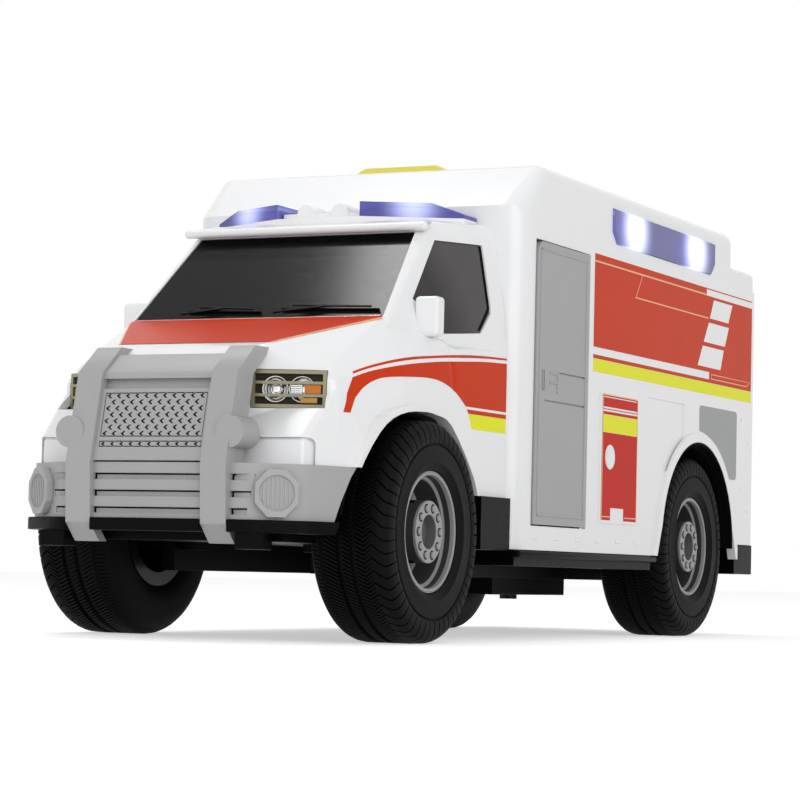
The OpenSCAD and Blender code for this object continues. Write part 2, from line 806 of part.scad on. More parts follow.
module bumper() {
    height = bumper_top - bumper_bottom;
    color(grey_abs) difference() {
        translate([0, 0, bumper_bottom]) {
            linear_extrude(height) difference() {
                bumper_plan();
                offset(delta = -bumper_wall) bumper_plan();
                translate([-box_width, axle_f - 20 - bumper_wall]) square([2 * box_width, 20]);
            }
            translate([0, 0, height - 2]) linear_extrude(2) intersection() {
                bumper_plan();
                translate([-box_width, y_front]) square([2 * box_width, cab_front + 8 - y_front]);
            }
        }
        arch_cut();
        for (z = slat_heights) {
            slab([-post_in, post_in], [y_front, bumper_y + slat_depth], [z - 0.8, z + 0.8]);
            both_sides() slab([post_in + post_width, post_in + post_width + 4 + (z - bumper_bottom) * 0.2],
                [y_front, bumper_y + 0.8 + slat_depth], [z - 0.8, z + 0.8]);
        }
    }
}

module fog_lamps() {
    mid = (bumper_half[3] + bumper_half[4]) / 2;
    rx = fog_lamp_diameter * 0.44;
    rz = fog_lamp_diameter * 0.48;
    z = bumper_bottom + seat_gap + rz / cos(22.5);
    color(grey_abs) both_sides() translate([mid[0], mid[1], z]) rotate([90, 0, fog_angle])
        translate([fog_shift, 0, 0]) difference() {
            linear_extrude(2) polygon([for (a = [22.5 : 45 : 360]) [rx * cos(a), rz * sin(a)] / cos(22.5)]);
            translate([0, 0, 1.4]) cylinder(r = rx * 0.8, h = 2);
        }
}

module bull_bar() {
    foot = bumper_bottom - 5.8;
    color(grey_abs) difference() {
        union() {
            both_sides() {
                across(post_in, post_in + post_width) {
                    front_strip(bumper_top, post_top, 0, post_depth);
                    front_strip(bumper_bottom - 1.2, bumper_top, 0, 4);
                    front_strip(foot, bumper_bottom - 1.2, 0, 3.4);
                }
                translate([post_in + post_width, y_front + lookup(boss_z, post_front) + post_depth, boss_z])
                    rotate([90, 0, 0]) cylinder(d = boss_diameter, h = post_depth + 0.3);
            }
            across(-post_x, post_x) front_strip(grille_top, post_top - 2, grille_set_back, grille_depth);
            across(-post_x, post_x)
                front_strip(bumper_top + 0.4, grille_bottom, grille_set_back, grille_depth);
        }
        translate([0, 0, bumper_bottom]) linear_extrude(bumper_top - bumper_bottom) bumper_plan();
        rounded_form(nose_points, cab_edge);
        rounded_form(block_points, block_edge);
    }
}

module grille() {
    half = post_in - 0.05;
    mesh = [grille_bottom + 3, grille_top - 3.6];
    row = [grille_bottom + 0.5, grille_bottom + 2];
    color(grey_abs) difference() {
        union() {
            across(-half, half) front_strip(grille_bottom, grille_top, grille_set_back, grille_depth);
            across(-half + 4, half - 4) front_strip(grille_bottom + 1, grille_top - 1,
                grille_set_back + grille_depth - eps, bull_bar_depth);
        }
        for (band = [mesh, row])
            across(-half + 1, half - 1) front_strip(band[0], band[1], 0, grille_set_back + 0.7);
        across(-half, half) front_strip(grille_top - 2.6, grille_top - 0.1, 0, grille_set_back + 1.8);
        rounded_form(nose_points, cab_edge);
        rounded_form(block_points, block_edge);
    }
}

module front_skid() {
    color(black_abs) difference() {
        union() {
            translate([0, 0, pan_top]) linear_extrude(bumper_bottom - pan_top) intersection() {
                offset(delta = skid_proud) bumper_plan();
                translate([-box_width, y_front]) square([2 * box_width, skid_depth]);
            }
            both_sides() slab([pan_hw, pan_hw + hanger_width], [bumper_y + 1, pan_front - 1.2],
                [pan_bottom - 2, pan_top]);
        }
        arch_cut();
        both_sides() slab([post_in - 0.1, post_in + post_width + 0.1],
            [y_front - 1, y_front + lookup(pan_top, post_front) + 3.6], [0, bumper_bottom + 1]);
    }
}

// One light bar lens, swept back in plan and sloping down to its end, drawn in by a distance
module lens_plan() {
    polygon([[bar_inner, bar_nose], [bar_hw, bar_rear - 8], [bar_hw, bar_rear], [bar_inner, bar_rear]]);
}
module lens_form(inset) {
    top = bar_lens_top - inset;
    intersection() {
        translate([0, 0, bar_base_top]) linear_extrude(light_bar_height)
            offset(delta = -inset) lens_plan();
        along(bar_nose - 1, bar_rear + 1) polygon([
            [bar_inner, bar_base_top], [bar_hw, bar_base_top],
            [bar_hw, bar_base_top + bar_end_height - inset],
            [bar_hw - bar_slope, top], [bar_inner, top]
        ]);
    }
}

module light_bar_base() {
    color(white_abs) difference() {
        union() {
            translate([0, 0, cab_roof_height - 5]) linear_extrude(bar_base_top - cab_roof_height + 5) {
                lens_plan();
                mirror([1, 0]) lens_plan();
                translate([-bar_inner, bar_nose]) square([2 * bar_inner, bar_rear - bar_nose]);
            }
            slab([-bar_inner + part_gap, bar_inner - part_gap], [bar_nose + 3, bar_rear],
                [bar_base_top - eps, bar_lens_top - 2.4]);
            both_sides() translate([5.2, bar_nose + 2.6, bar_base_top + 1.4]) rotate([-90, 0, 0])
                cylinder(d = 5.2, h = 9);
        }
        rounded_form(green_points, cab_edge);
        visor();
        bar_led_holes();
    }
}

module light_bar_lens_left() {
    color(blue_clear) difference() {
        lens_form(0);
        translate([0, 0, -eps]) lens_form(bar_shell);
    }
}
module light_bar_lens_right() { mirror([1, 0, 0]) light_bar_lens_left(); }

module bulkhead() {
    height = wall_top - skirt_height;
    color(white_abs) {
        difference() {
            slab([-(box_hw - box_corner), box_hw - box_corner], [box_front, box_front + wall],
                [skirt_height, wall_top]);
            slab([-pan_hw - seat_gap, pan_hw + seat_gap], [box_front - 1, box_front + wall + 1],
                [skirt_height - 1, pan_top]);
        }
        both_sides() translate([box_hw - box_corner, panel_front, skirt_height]) rotate(-90)
            rotate_extrude(angle = 90) translate([box_corner - wall, 0]) square([wall, height]);
    }
}

// Outline of the rear wheel arch, wider at its foot
module arch_outline(extra) {
    translate([axle_r, axle_z]) circle(arch_r + extra);
    polygon([
        [axle_r - arch_half - extra, skirt_height - 5], [axle_r - arch_half - extra, skirt_height],
        [axle_r - arch_r * 0.93 - extra, axle_z + arch_r * 0.32],
        [axle_r + arch_r * 0.93 + extra, axle_z + arch_r * 0.32],
        [axle_r + arch_half + extra, skirt_height], [axle_r + arch_half + extra, skirt_height - 5]
    ]);
}

// One side wall of the box, drawn on the left
module side_panel() {
    locker = [hinge_y + locker_offset, hinge_y + locker_offset + locker_width];
    inset_front = locker[1] + panel_gap;
    union() {
        difference() {
            across(box_in, box_hw) polygon([
                [panel_front, skirt_height], [rear_bumper_front, skirt_height],
                [rear_bumper_front, rear_bumper_top], [box_rear - wall, rear_bumper_top],
                [box_rear - wall, wall_top], [panel_front, wall_top]
            ]);
            across(box_in - 1, box_hw + 1) arch_outline(0);
            slab([box_hw - inset_depth, box_hw + 1], [inset_front, inset_front + inset_width],
                [locker_top + panel_rise - inset_height, locker_top + panel_rise]);
        }
        across(box_hw - eps, box_hw + lip_proud) difference() {
            arch_outline(arch_lip);
            arch_outline(0);
            translate([axle_r - 2 * arch_half, -arch_half])
                square([4 * arch_half, skirt_height + arch_half]);
            translate([rear_bumper_front, 0]) square([arch_half, rear_bumper_top]);
        }
        slab([box_hw - eps, box_hw + locker_proud], locker, [locker_top - locker_height, locker_top]);
    }
}

module box_left_panel() {
    pin_low = side_door_bottom - part_gap - 5;
    color(white_abs) difference() {
        side_panel();
        slab([box_in - 5, box_hw + 2], [door_front - part_gap, door_rear + part_gap],
            [side_door_bottom - part_gap, side_door_top + part_gap]);
        translate([hinge_x, hinge_y, pin_low])
            cylinder(d = pin_diameter + screw_hole_gap, h = wall_top - pin_low + 1);
    }
}
module box_right_panel() { color(white_abs) mirror([1, 0, 0]) side_panel(); }

// Raised roof form, drawn in by a distance
module raised_roof(inset) {
    corner = box_corner - inset;
    edge = roof_edge - inset;
    hull() both_sides() {
        translate([box_hw - box_corner, panel_front, wall_top])
            cylinder(r = corner, h = roof_height - roof_front_slope - wall_top, $fn = 32);
        translate([box_hw - roof_edge, box_front + roof_front_slope + roof_edge, roof_height - roof_edge])
            sphere(edge, $fn = 32);
        translate([box_hw - roof_edge, roof_end - roof_edge, wall_top])
            cylinder(r = edge, h = roof_height - roof_edge - wall_top, $fn = 32);
        translate([box_hw - roof_edge, roof_end - roof_edge, roof_height - roof_edge])
            sphere(edge, $fn = 32);
    }
}

// Low roof form behind the raised part, drawn in by a distance
module low_roof(inset) {
    edge = 2.2 - inset;
    hull() both_sides() for (y = [roof_end - 8, box_rear - 2.2]) {
        translate([box_hw - 2.2, y, wall_top]) cylinder(r = edge, h = 1, $fn = 32);
        translate([box_hw - 2.2, y, rear_roof_height - 2.2]) sphere(edge, $fn = 32);
    }
}

module board_posts(d, z0, z1) {
    both_sides() for (dy = [-board_hl + 3, board_hl - 3])
        translate([board_hw - 3, button_y + dy, z0]) cylinder(d = d, h = z1 - z0);
}

// Flat outline of a side light lens in (y, z), with cut lower corners
module side_lens_outline(grow) {
    half = side_lens_length / 2 + grow;
    z0 = side_lens_bottom - grow;
    z1 = side_lens_bottom + side_lens_height + grow;
    cut = 3.4;
    translate([side_lens_mid, 0]) polygon([
        [-half + cut, z0], [half - cut, z0], [half, z0 + cut], [half, z1], [-half, z1], [-half, z0 + cut]
    ]);
}

module box_roof() {
    pocket = box_hw - side_lens_depth;
    ceiling = roof_height - wall;
    color(white_abs) difference() {
        union() {
            difference() {
                union() {
                    raised_roof(0);
                    low_roof(0);
                }
                translate([0, 0, -eps]) raised_roof(wall);
                translate([0, 0, -eps]) low_roof(wall);
                slab([-box_in + 3, box_in - 3], [box_front + box_corner, box_rear - 4],
                    [wall_top - 1, wall_top + 2]);
            }
            both_sides() slab([pocket - wall, box_in + 0.5],
                [side_lens_mid - side_lens_length / 2 - 2, side_lens_mid + side_lens_length / 2 + 2],
                [wall_top, side_lens_bottom + side_lens_height + 2.4]);
            board_posts(post_d, board_top, ceiling + 1);
            translate([0, speaker_y, ceiling - speaker_height])
                cylinder(d = speaker_diameter + 5, h = speaker_height + 1);
        }
        both_sides() {
            across(pocket, box_hw + 1) side_lens_outline(seat_gap);
            for (dy = [-side_led_offset, side_led_offset])
                translate([pocket - wall - 1, side_lens_mid + dy, side_led_z]) rotate([0, 90, 0])
                    cylinder(d = led_diameter + led_gap, h = wall + 2);
        }
        translate([-button_length / 2 - part_gap, button_y - button_width / 2 - part_gap, ceiling - 1])
            cube([button_length + 2 * part_gap, button_width + 2 * part_gap, wall + 2]);
        board_posts(screw_d * 0.7 + screw_hole_gap, board_top - 1, board_top + 6);
        translate([0, speaker_y, ceiling - speaker_height - 1])
            cylinder(d = speaker_diameter + 0.2, h = speaker_height + 1);
    }
}

module rear_frame() {
    half = rear_doorway / 2;
    color(white_abs) difference() {
        slab([-box_hw, box_hw], [box_rear - wall, box_rear], [rear_bumper_top, wall_top]);
        slab([-half, half], [box_rear - wall - 1, box_rear + 1],
            [floor_top, rear_door_top + part_gap]);
        both_sides() translate([rear_hinge_x, rear_hinge_y, floor_top - 4])
            cylinder(d = pin_diameter + screw_hole_gap, h = wall_top - floor_top + 5);
    }
}

module cargo_floor() {
    color(grey_abs) difference() {
        union() {
            slab([-(box_hw - box_corner - 0.2), box_hw - box_corner - 0.2],
                [box_front + wall, floor_rear], [floor_bottom, floor_top]);
            slab([-box_in, box_in], [panel_front + 0.2, floor_rear], [floor_bottom, floor_top]);
            both_sides() slab([tub_in, box_in], [axle_r - tub_hl, axle_r + tub_hl],
                [floor_bottom, tub_top]);
            both_sides() for (y = screw_y)
                translate([screw_x, y, pan_top]) cylinder(d = boss_d, h = floor_bottom - pan_top + eps);
        }
        both_sides() slab([tub_in + tub_wall, box_hw],
            [axle_r - tub_hl + tub_wall, axle_r + tub_hl - tub_wall],
            [floor_bottom - 1, tub_top - tub_wall]);
        slab([hinge_x - door_thickness / 2 - part_gap, box_hw],
            [door_front - 1, door_rear + 1], [floor_bottom - 1, floor_top + 1]);
        both_sides() for (y = screw_y) translate([screw_x, y, pan_top - 1])
            cylinder(d = screw_d + screw_hole_gap, h = floor_top - pan_top + 0.6);
    }
}

module side_door() {
    face = hinge_x + door_thickness / 2;
    mid = (side_door_bottom + side_door_top) / 2;
    color(grey_abs) difference() {
        union() {
            slab([hinge_x - door_thickness / 2, face], [door_front, hinge_y],
                [side_door_bottom, side_door_top]);
            translate([hinge_x, hinge_y, side_door_bottom])
                cylinder(d = door_thickness, h = side_door_top - side_door_bottom);
        }
        across(box_in - 2, face + 1) translate([door_front, side_door_top - door_corner]) difference() {
            translate([-1, 0]) square([door_corner + 1, door_corner + 1]);
            translate([door_corner, 0]) circle(door_corner);
        }
        slab([face - 0.5, face + 1], [door_front + 6.3, hinge_y - 1.4], [mid - 5, mid - 4.5]);
        slab([face - 0.5, face + 1], [door_front + 16.4, hinge_y - 1.4], [mid + 3.2, mid + 3.7]);
        slab([face - 1.2, face + 1], [door_front + 4.4, door_front + 6.2], [mid - 2, mid + 3.6]);
        hinge_bore();
    }
}

// Bore of the side door on its pin
module hinge_bore() {
    translate([hinge_x, hinge_y, side_door_bottom - 1])
        cylinder(r = pin_diameter / 2 + pin_clearance, h = side_door_top - side_door_bottom + 2);
}

module side_door_pin() {
    z0 = side_door_bottom - part_gap - 5;
    color(steel) translate([hinge_x, hinge_y, z0])
        cylinder(d = pin_diameter, h = wall_top - pin_end_gap - z0);
}

module rear_door_left() {
    face = rear_hinge_y + door_thickness / 2;
    color(white_abs) difference() {
        union() {
            slab([part_gap / 2, rear_hinge_x], [rear_hinge_y - door_thickness / 2, face],
                [rear_door_bottom, rear_door_top]);
            translate([rear_hinge_x, rear_hinge_y, rear_door_bottom])
                cylinder(d = door_thickness, h = rear_door_top - rear_door_bottom);
            slab([3, 5], [face - eps, face + 0.8], [rear_door_bottom + 30, rear_door_bottom + 40]);
        }
        slab([6, rear_hinge_x - 5], [face - 0.5, face + 1], [rear_door_top - 27, rear_door_top - 6]);
        translate([rear_hinge_x, rear_hinge_y, rear_door_bottom - 1])
            cylinder(r = pin_diameter / 2 + pin_clearance, h = rear_door_top - rear_door_bottom + 2);
    }
}
module rear_door_right() { mirror([1, 0, 0]) rear_door_left(); }

module rear_door_pins() {
    z0 = floor_top - 4;
    color(steel) both_sides() translate([rear_hinge_x, rear_hinge_y, z0])
        cylinder(d = pin_diameter, h = wall_top - pin_end_gap - z0);
}

module side_lens_left() {
    back = box_hw - side_lens_depth;
    color(blue_clear) difference() {
        across(back, box_hw + lens_proud) side_lens_outline(0);
        across(back - 1, box_hw + lens_proud - lens_skin) side_lens_outline(-lens_skin);
    }
}
module side_lens_right() { mirror([1, 0, 0]) side_lens_left(); }

module leds() {
    back = box_hw - side_lens_depth;
    color("aliceblue") both_sides() {
        for (dy = [-side_led_offset, side_led_offset])
            translate([back - wall - 2, side_lens_mid + dy, side_led_z]) rotate([0, 90, 0])
                cylinder(d = led_diameter, h = wall + 4);
        translate([bar_led_x, bar_led_y, cab_roof_height - 1.6])
            cylinder(d = led_diameter, h = bar_lens_top - bar_shell - 1.4 - cab_roof_height + 1.6);
    }
}

module roof_button() {
    ceiling = roof_height - wall;
    top = roof_height + button_height;
    chamfer = 1.6;
    color([0.92, 0.86, 0.32]) {
        along(button_y - button_width / 2, button_y + button_width / 2) polygon([
            [-button_length / 2, ceiling - 1], [button_length / 2, ceiling - 1],
            [button_length / 2, top - chamfer], [button_length / 2 - 2 * chamfer, top],
            [-button_length / 2 + 2 * chamfer, top], [-button_length / 2, top - chamfer]
        ]);
        slab([-button_length / 2 - button_lip, button_length / 2 + button_lip],
            [button_y - button_width / 2 - button_lip, button_y + button_width / 2 + button_lip],
            [ceiling - button_lip_t, ceiling - lip_gap]);
        translate([0, button_y, board_top + button_travel + 0.8])
            cylinder(d = button_stem_d, h = ceiling - button_lip_t - board_top - button_travel - 0.8 + eps);
    }
}

module circuit_board() {
    color("darkgreen") difference() {
        slab([-board_hw, board_hw], [button_y - board_hl, button_y + board_hl],
            [board_top - board_thickness, board_top]);
        board_posts(screw_d * 0.7 + 0.4, board_top - board_thickness - 1, board_top + 1);
    }
}

module button_switch() {
    color("dimgray") difference() {
        slab([-switch_size / 2, switch_size / 2], [button_y - switch_size / 2, button_y + switch_size / 2],
            [board_top, board_top + switch_height]);
        translate([0, button_y, board_top + 0.4])
            cylinder(r = button_stem_d / 2 + stem_clearance, h = switch_height);
    }
}

module board_screws() {
    color(steel) {
        board_posts(screw_d * 0.7, board_top - board_thickness - eps, board_top + 5);
        board_posts(screw_d * 1.4, board_top - board_thickness - 1.2, board_top - board_thickness);
    }
}

module speaker() {
    top = roof_height - wall;
    color("dimgray") {
        translate([0, speaker_y, top - speaker_height]) cylinder(d = speaker_diameter, h = speaker_height);
        translate([0, speaker_y, top - speaker_height - 2])
            cylinder(d = speaker_diameter * 0.5, h = 2 + eps);
    }
}

module rear_bumper() {
    hw = box_hw - 0.4;
    z = [rear_bumper_bottom, rear_bumper_top];
    color(black_abs) {
        slab([-hw, hw], [box_rear, y_rear], z);
        both_sides() slab([box_hw - board_width, hw], [rear_bumper_front, box_rear + eps], z);
    }
}

module tail_lamps() {
    outer = box_hw - tail_lamp_edge;
    inner = rear_doorway / 2 + 1;
    color("firebrick") both_sides() slab([inner, outer], [box_rear, box_rear + tail_lamp_edge],
        [floor_top + tail_lamp_rise, floor_top + tail_lamp_rise + tail_lamp_height]);
}

chassis();
battery_cover();
battery_cells();
battery_contacts();
battery_cover_screw();
assembly_screws();
front_axle();
rear_axle();
front_left_rim();
front_right_rim();
rear_left_rim();
rear_right_rim();
front_left_tyre();
front_right_tyre();
rear_left_tyre();
rear_right_tyre();
cab_shell();
windscreen();
side_window_left();
side_window_right();
wipers();
mirror_left();
mirror_right();
headlight_left();
headlight_right();
bumper();
fog_lamps();
bull_bar();
grille();
front_skid();
light_bar_base();
light_bar_lens_left();
light_bar_lens_right();
bulkhead();
box_left_panel();
box_right_panel();
box_roof();
rear_frame();
cargo_floor();
side_door();
side_door_pin();
rear_door_left();
rear_door_right();
rear_door_pins();
side_lens_left();
side_lens_right();
leds();
roof_button();
circuit_board();
button_switch();
board_screws();
speaker();
rear_bumper();
tail_lamps();
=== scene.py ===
"""Looks for the toy ambulance: finishes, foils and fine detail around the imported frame."""

import json
import math

import bmesh
import bpy
from bpy.props import FloatProperty, FloatVectorProperty, IntProperty, PointerProperty
from mathutils import Matrix, Vector
from mathutils.bvhtree import BVHTree
from mathutils.geometry import delaunay_2d_cdt

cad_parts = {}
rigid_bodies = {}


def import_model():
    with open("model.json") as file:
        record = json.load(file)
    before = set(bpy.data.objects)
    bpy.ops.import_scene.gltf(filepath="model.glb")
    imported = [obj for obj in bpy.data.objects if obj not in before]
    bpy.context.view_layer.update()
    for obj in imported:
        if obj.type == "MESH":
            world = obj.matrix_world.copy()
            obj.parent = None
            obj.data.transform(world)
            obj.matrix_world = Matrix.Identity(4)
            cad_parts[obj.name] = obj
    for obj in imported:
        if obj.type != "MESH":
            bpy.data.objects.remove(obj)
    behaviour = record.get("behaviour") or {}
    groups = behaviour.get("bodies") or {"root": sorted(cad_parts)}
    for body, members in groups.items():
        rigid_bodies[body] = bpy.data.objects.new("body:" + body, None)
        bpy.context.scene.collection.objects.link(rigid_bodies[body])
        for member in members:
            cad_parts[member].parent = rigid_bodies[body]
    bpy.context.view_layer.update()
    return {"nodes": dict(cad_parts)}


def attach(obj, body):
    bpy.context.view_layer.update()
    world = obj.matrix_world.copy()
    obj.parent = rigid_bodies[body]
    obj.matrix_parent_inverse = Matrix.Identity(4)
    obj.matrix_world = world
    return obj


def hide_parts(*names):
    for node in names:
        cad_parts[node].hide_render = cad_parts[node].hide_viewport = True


bl_info = {
    "name": "Toy ambulance looks",
    "version": (1, 0, 0),
    "blender": (4, 5, 0),
    "location": "View3D > Sidebar > Ambulance",
    "description": "Dresses the packed toy ambulance with finishes, foils and fine detail",
    "category": "Object",
}

for leftover in list(bpy.data.objects):
    bpy.data.objects.remove(leftover)
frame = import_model()
NODES = frame["nodes"]
MM = 0.001
ROUND_SIDES = 40

# Stations of the frame, in millimetres
AXLE_Z = 28.2
AXLES = {"front": -94.7, "rear": 96.3}
SIDES = ("left", "right")
TYRE_R = 28.2
SIDE_DIODES = [(x, y, 121.2) for x in (-52, 52) for y in (37.9, 90.7)]
BAR_DIODES = [(x, -54.5, 116.8) for x in (-23, 23)]

# Finishes that the colours below don't give
BRIGHT_METAL = (0.8, 0.8, 0.8)
PAPER_CONE = (0.06, 0.06, 0.062)
DIODE_WHITE = (0.9, 0.93, 1.0)
GLASS_BAND = (0.002, 0.002, 0.002)
# Painted shade over the front part of the side glazing
SIDE_GLASS_PAINTED_SHADE = (0.055, 0.05, 0.052)
CLOUD_SCALE = 55.0
GRAIN_HEIGHT = 0.2
LENS_GLOW = 1.5
GLOW_FALL = 2.2
# Reach of the diodes' glow, and where the second colours begin and are full, in millimetres; the
# second colours of the tread, the rim backs and the side glazing are painted shade
SIDE_REACH = 20
BAR_REACH = 15
TREAD_SHADE_EDGE = (24.5, 27.5)
RIM_BACK_SHADE_EDGE = (39.5, 38.5)
GLASS_BAND_EDGE = (100.5, 101.5)
SIDE_SHADE_EDGE = (-30, -45)
SIDE_SHADE_LEAN = 0.35


def colour_prop(name, text, value):
    """A colour that a user may change."""
    return FloatVectorProperty(
        name=name, description=text, default=value, size=3, min=0, max=1, subtype="COLOR"
    )


def length_prop(name, text, value):
    """A length that a user may change, in metres."""
    return FloatProperty(
        name=name, description=text, default=value, min=0, precision=5, unit="LENGTH"
    )


def count_prop(name, text, value, least):
    """A number of repeats that a user may change."""
    return IntProperty(name=name, description=text, default=value, min=least)


def power_prop(name, text, value):
    """A light's power that a user may change, in watts."""
    return FloatProperty(name=name, description=text, default=value, unit="POWER")


class AmbulanceColours(bpy.types.PropertyGroup):
    """Colours of the mouldings, foils and lamps, and of the painted shade on the tyres, hubs and
    side glazing.
    """

    body: colour_prop("Body white", "Gloss white mouldings", (0.875, 0.88, 0.89))
    stripe: colour_prop("Stripe red", "Orange-red foil on the cab and box", (0.64, 0.05, 0.013))
    locker: colour_prop("Locker red", "Red foil on the lockers", (0.61, 0.023, 0.013))
    lime: colour_prop("Lime", "Yellow-green foil", (0.86, 0.88, 0.035))
    foil_edge: colour_prop("Foil edge", "Pale orange lines on the foils", (0.88, 0.42, 0.17))
    trim: colour_prop("Trim grey", "Bumper, bull bar and grille", (0.385, 0.385, 0.39))
    door: colour_prop("Door grey", "Side door", (0.375, 0.375, 0.385))
    print_grey: colour_prop("Printed grey", "Grey panels behind the lockers", (0.315, 0.32, 0.325))
    chassis: colour_prop("Chassis black", "Chassis, skid and rear bumper", (0.0026, 0.0023, 0.0026))
    tyre: colour_prop("Tyre black", "Soft tyres", (0.0045, 0.004, 0.0045))
    # The tread colour is painted shade on the tyres' running faces
    tread: colour_prop("Tread black", "Running faces of the tyres", (0.0012, 0.0011, 0.0012))
    # The hub recess colour is painted shade inside the hubs
    recess: colour_prop("Hub recess", "Cups inside the hubs", (0.13, 0.125, 0.13))
    rim: colour_prop("Rim grey", "Wheel rims", (0.3, 0.3, 0.305))
    rim_dark: colour_prop("Rim dark", "Drums and shaded steps of the rims", (0.042, 0.0395, 0.042))
    smoke: colour_prop("Smoked glazing", "Windscreen and windows", (0.01, 0.009, 0.01))
    # The side glazing's grey is the smoked tint lightened as a painted sheen
    side_glass: colour_prop("Side glazing", "Side windows", (0.1, 0.093, 0.095))
    lens: colour_prop("Blue lens", "Clear blue lamp covers", (0.11, 0.11, 0.46))
    glow: colour_prop("Lamp glow", "Light of the lit diodes", (0.75, 0.82, 1.0))
    button: colour_prop("Button yellow", "Roof button", (0.8, 0.69, 0.09))
    gold: colour_prop("Lamp gold", "Headlight housings", (0.31, 0.295, 0.195))
    well: colour_prop("Lamp well", "Dark ground inside the headlights", (0.032, 0.023, 0.013))
    indicator: colour_prop("Indicator orange", "Turn signal lenses", (0.72, 0.21, 0.012))
    amber: colour_prop("Amber", "Lower reflectors in the headlights", (0.62, 0.36, 0.07))
    tail: colour_prop("Tail red", "Rear lamp lenses", (0.5, 0.012, 0.01))
    steel: colour_prop("Steel", "Axles, pins and contacts", (0.56, 0.56, 0.58))
    screw: colour_prop("Screw black", "Blackened screws", (0.02, 0.02, 0.021))
    cell: colour_prop("Cell sleeve", "Printed sleeves of the battery cells", (0.5, 0.32, 0.05))
    board: colour_prop("Board green", "Circuit board", (0.015, 0.13, 0.045))


class AmbulanceSizes(bpy.types.PropertyGroup):
    """Sizes of the fine detail."""

    foil_lift: length_prop("Foil lift", "Height of a foil over its surface", 0.00007)
    foil_thickness: length_prop("Foil thickness", "Thickness of a foil", 0.00006)
    edge_round: length_prop("Edge round", "Rounding of moulded edges", 0.0003)
    lug_depth: length_prop("Lug depth", "Depth of the gaps between tyre lugs", 0.0009)
    lugs: count_prop("Lugs", "Shoulder lugs round a tyre", 54, 8)
    mesh_columns: count_prop("Mesh columns", "Chevrons across the grille", 11, 2)
    mesh_rows: count_prop("Mesh rows", "Chevron rows", 7, 1)
    clips: count_prop("Clips", "Skirt clips on a side", 6, 1)


class AmbulanceStage(bpy.types.PropertyGroup):
    """Floor and lights."""

    floor_size: length_prop("Floor size", "Side of the square floor", 8.0)
    key_power: power_prop("Key light", "Power of the front light", 4.0)
    fill_power: power_prop("Fill light", "Power of the side light", 7.4)
    top_power: power_prop("Top light", "Power of the overhead light", 0.3)
    sheen_power: power_prop(
        "Sheen light", "Power of the small light that shows in the windscreen", 1.5
    )
    sky: FloatProperty(
        name="Sky", description="Strength of the even light all round", default=0.5, min=0
    )


def colours():
    return bpy.context.scene.ambulance_colours


def sizes():
    return bpy.context.scene.ambulance_sizes


# Materials


def add(tree, kind, inputs=None, **settings):
    """Adds a node with its settings; an input takes a value or another node's socket."""
    made = tree.nodes.new(kind)
    for key, value in settings.items():
        setattr(made, key, value)
    for key, value in (inputs or {}).items():
        if isinstance(value, bpy.types.NodeSocket):
            tree.links.new(value, made.inputs[key])
        else:
            made.inputs[key].default_value = value
    return made


def rgba(colour, factor=1.0):
    """A colour as four numbers, lighter or darker by a factor."""
    return [min(1.0, c * factor) for c in colour] + [1.0]


def math_node(tree, operation, a, b=0.0):
    return add(tree, "ShaderNodeMath", {0: a, 1: b}, operation=operation).outputs[0]


def object_point(tree):
    return add(tree, "ShaderNodeTexCoord").outputs["Object"]


def axes_of(tree):
    """The three parts of a point's place on the object."""
    return add(tree, "ShaderNodeSeparateXYZ", {"Vector": object_point(tree)}).outputs


def mixed(tree, factor, below, above):
    """A colour between two; the Mix node has sockets for each data type, so these go by number."""
    return add(tree, "ShaderNodeMix", {0: factor, 6: below, 7: above}, data_type="RGBA").outputs[2]


def shader_of(material):
    return material.node_tree.nodes["Principled BSDF"]


def moulded(name, colour, roughness, mottle=0.03, grain=900.0, bump=0.08, spread=0.06, **shader):
    """A plastic, rubber or metal with faint mottling, and gloss and bump from fine grain."""
    material = bpy.data.materials.new(name)
    material.use_nodes = True
    tree = material.node_tree
    bsdf = shader_of(material)
    point = object_point(tree)
    cloud, fine = (
        add(
            tree, "ShaderNodeTexNoise", {"Vector": point, "Scale": scale, "Detail": detail}
        ).outputs["Fac"]
        for scale, detail in ((CLOUD_SCALE, 2.0), (grain, 3.0))
    )
    tint = mixed(tree, cloud, rgba(colour, 1 - mottle), rgba(colour, 1 + mottle))
    rough = add(
        tree,
        "ShaderNodeMapRange",
        {"Value": fine, "To Min": max(0.02, roughness - spread), "To Max": roughness + spread},
    )
    relief = add(
        tree, "ShaderNodeBump", {"Height": fine, "Strength": bump, "Distance": GRAIN_HEIGHT * MM}
    )
    tree.links.new(tint, bsdf.inputs["Base Color"])
    tree.links.new(rough.outputs["Result"], bsdf.inputs["Roughness"])
    tree.links.new(relief.outputs["Normal"], bsdf.inputs["Normal"])
    for key, value in shader.items():
        bsdf.inputs[key.replace("_", " ").title().replace("Ior", "IOR")].default_value = value
    return material


def overpaint(material, mask, colour):
    """Lays a second colour over a material where the mask is 1."""
    tree = material.node_tree
    base = shader_of(material).inputs["Base Color"]
    tree.links.new(mixed(tree, mask, base.links[0].from_socket, rgba(colour)), base)


def soft_step(tree, value, low, high):
    """Rises from 0 to 1 between two places in millimetres."""
    return add(
        tree, "ShaderNodeMapRange", {"Value": value, "From Min": low * MM, "From Max": high * MM}
    ).outputs["Result"]


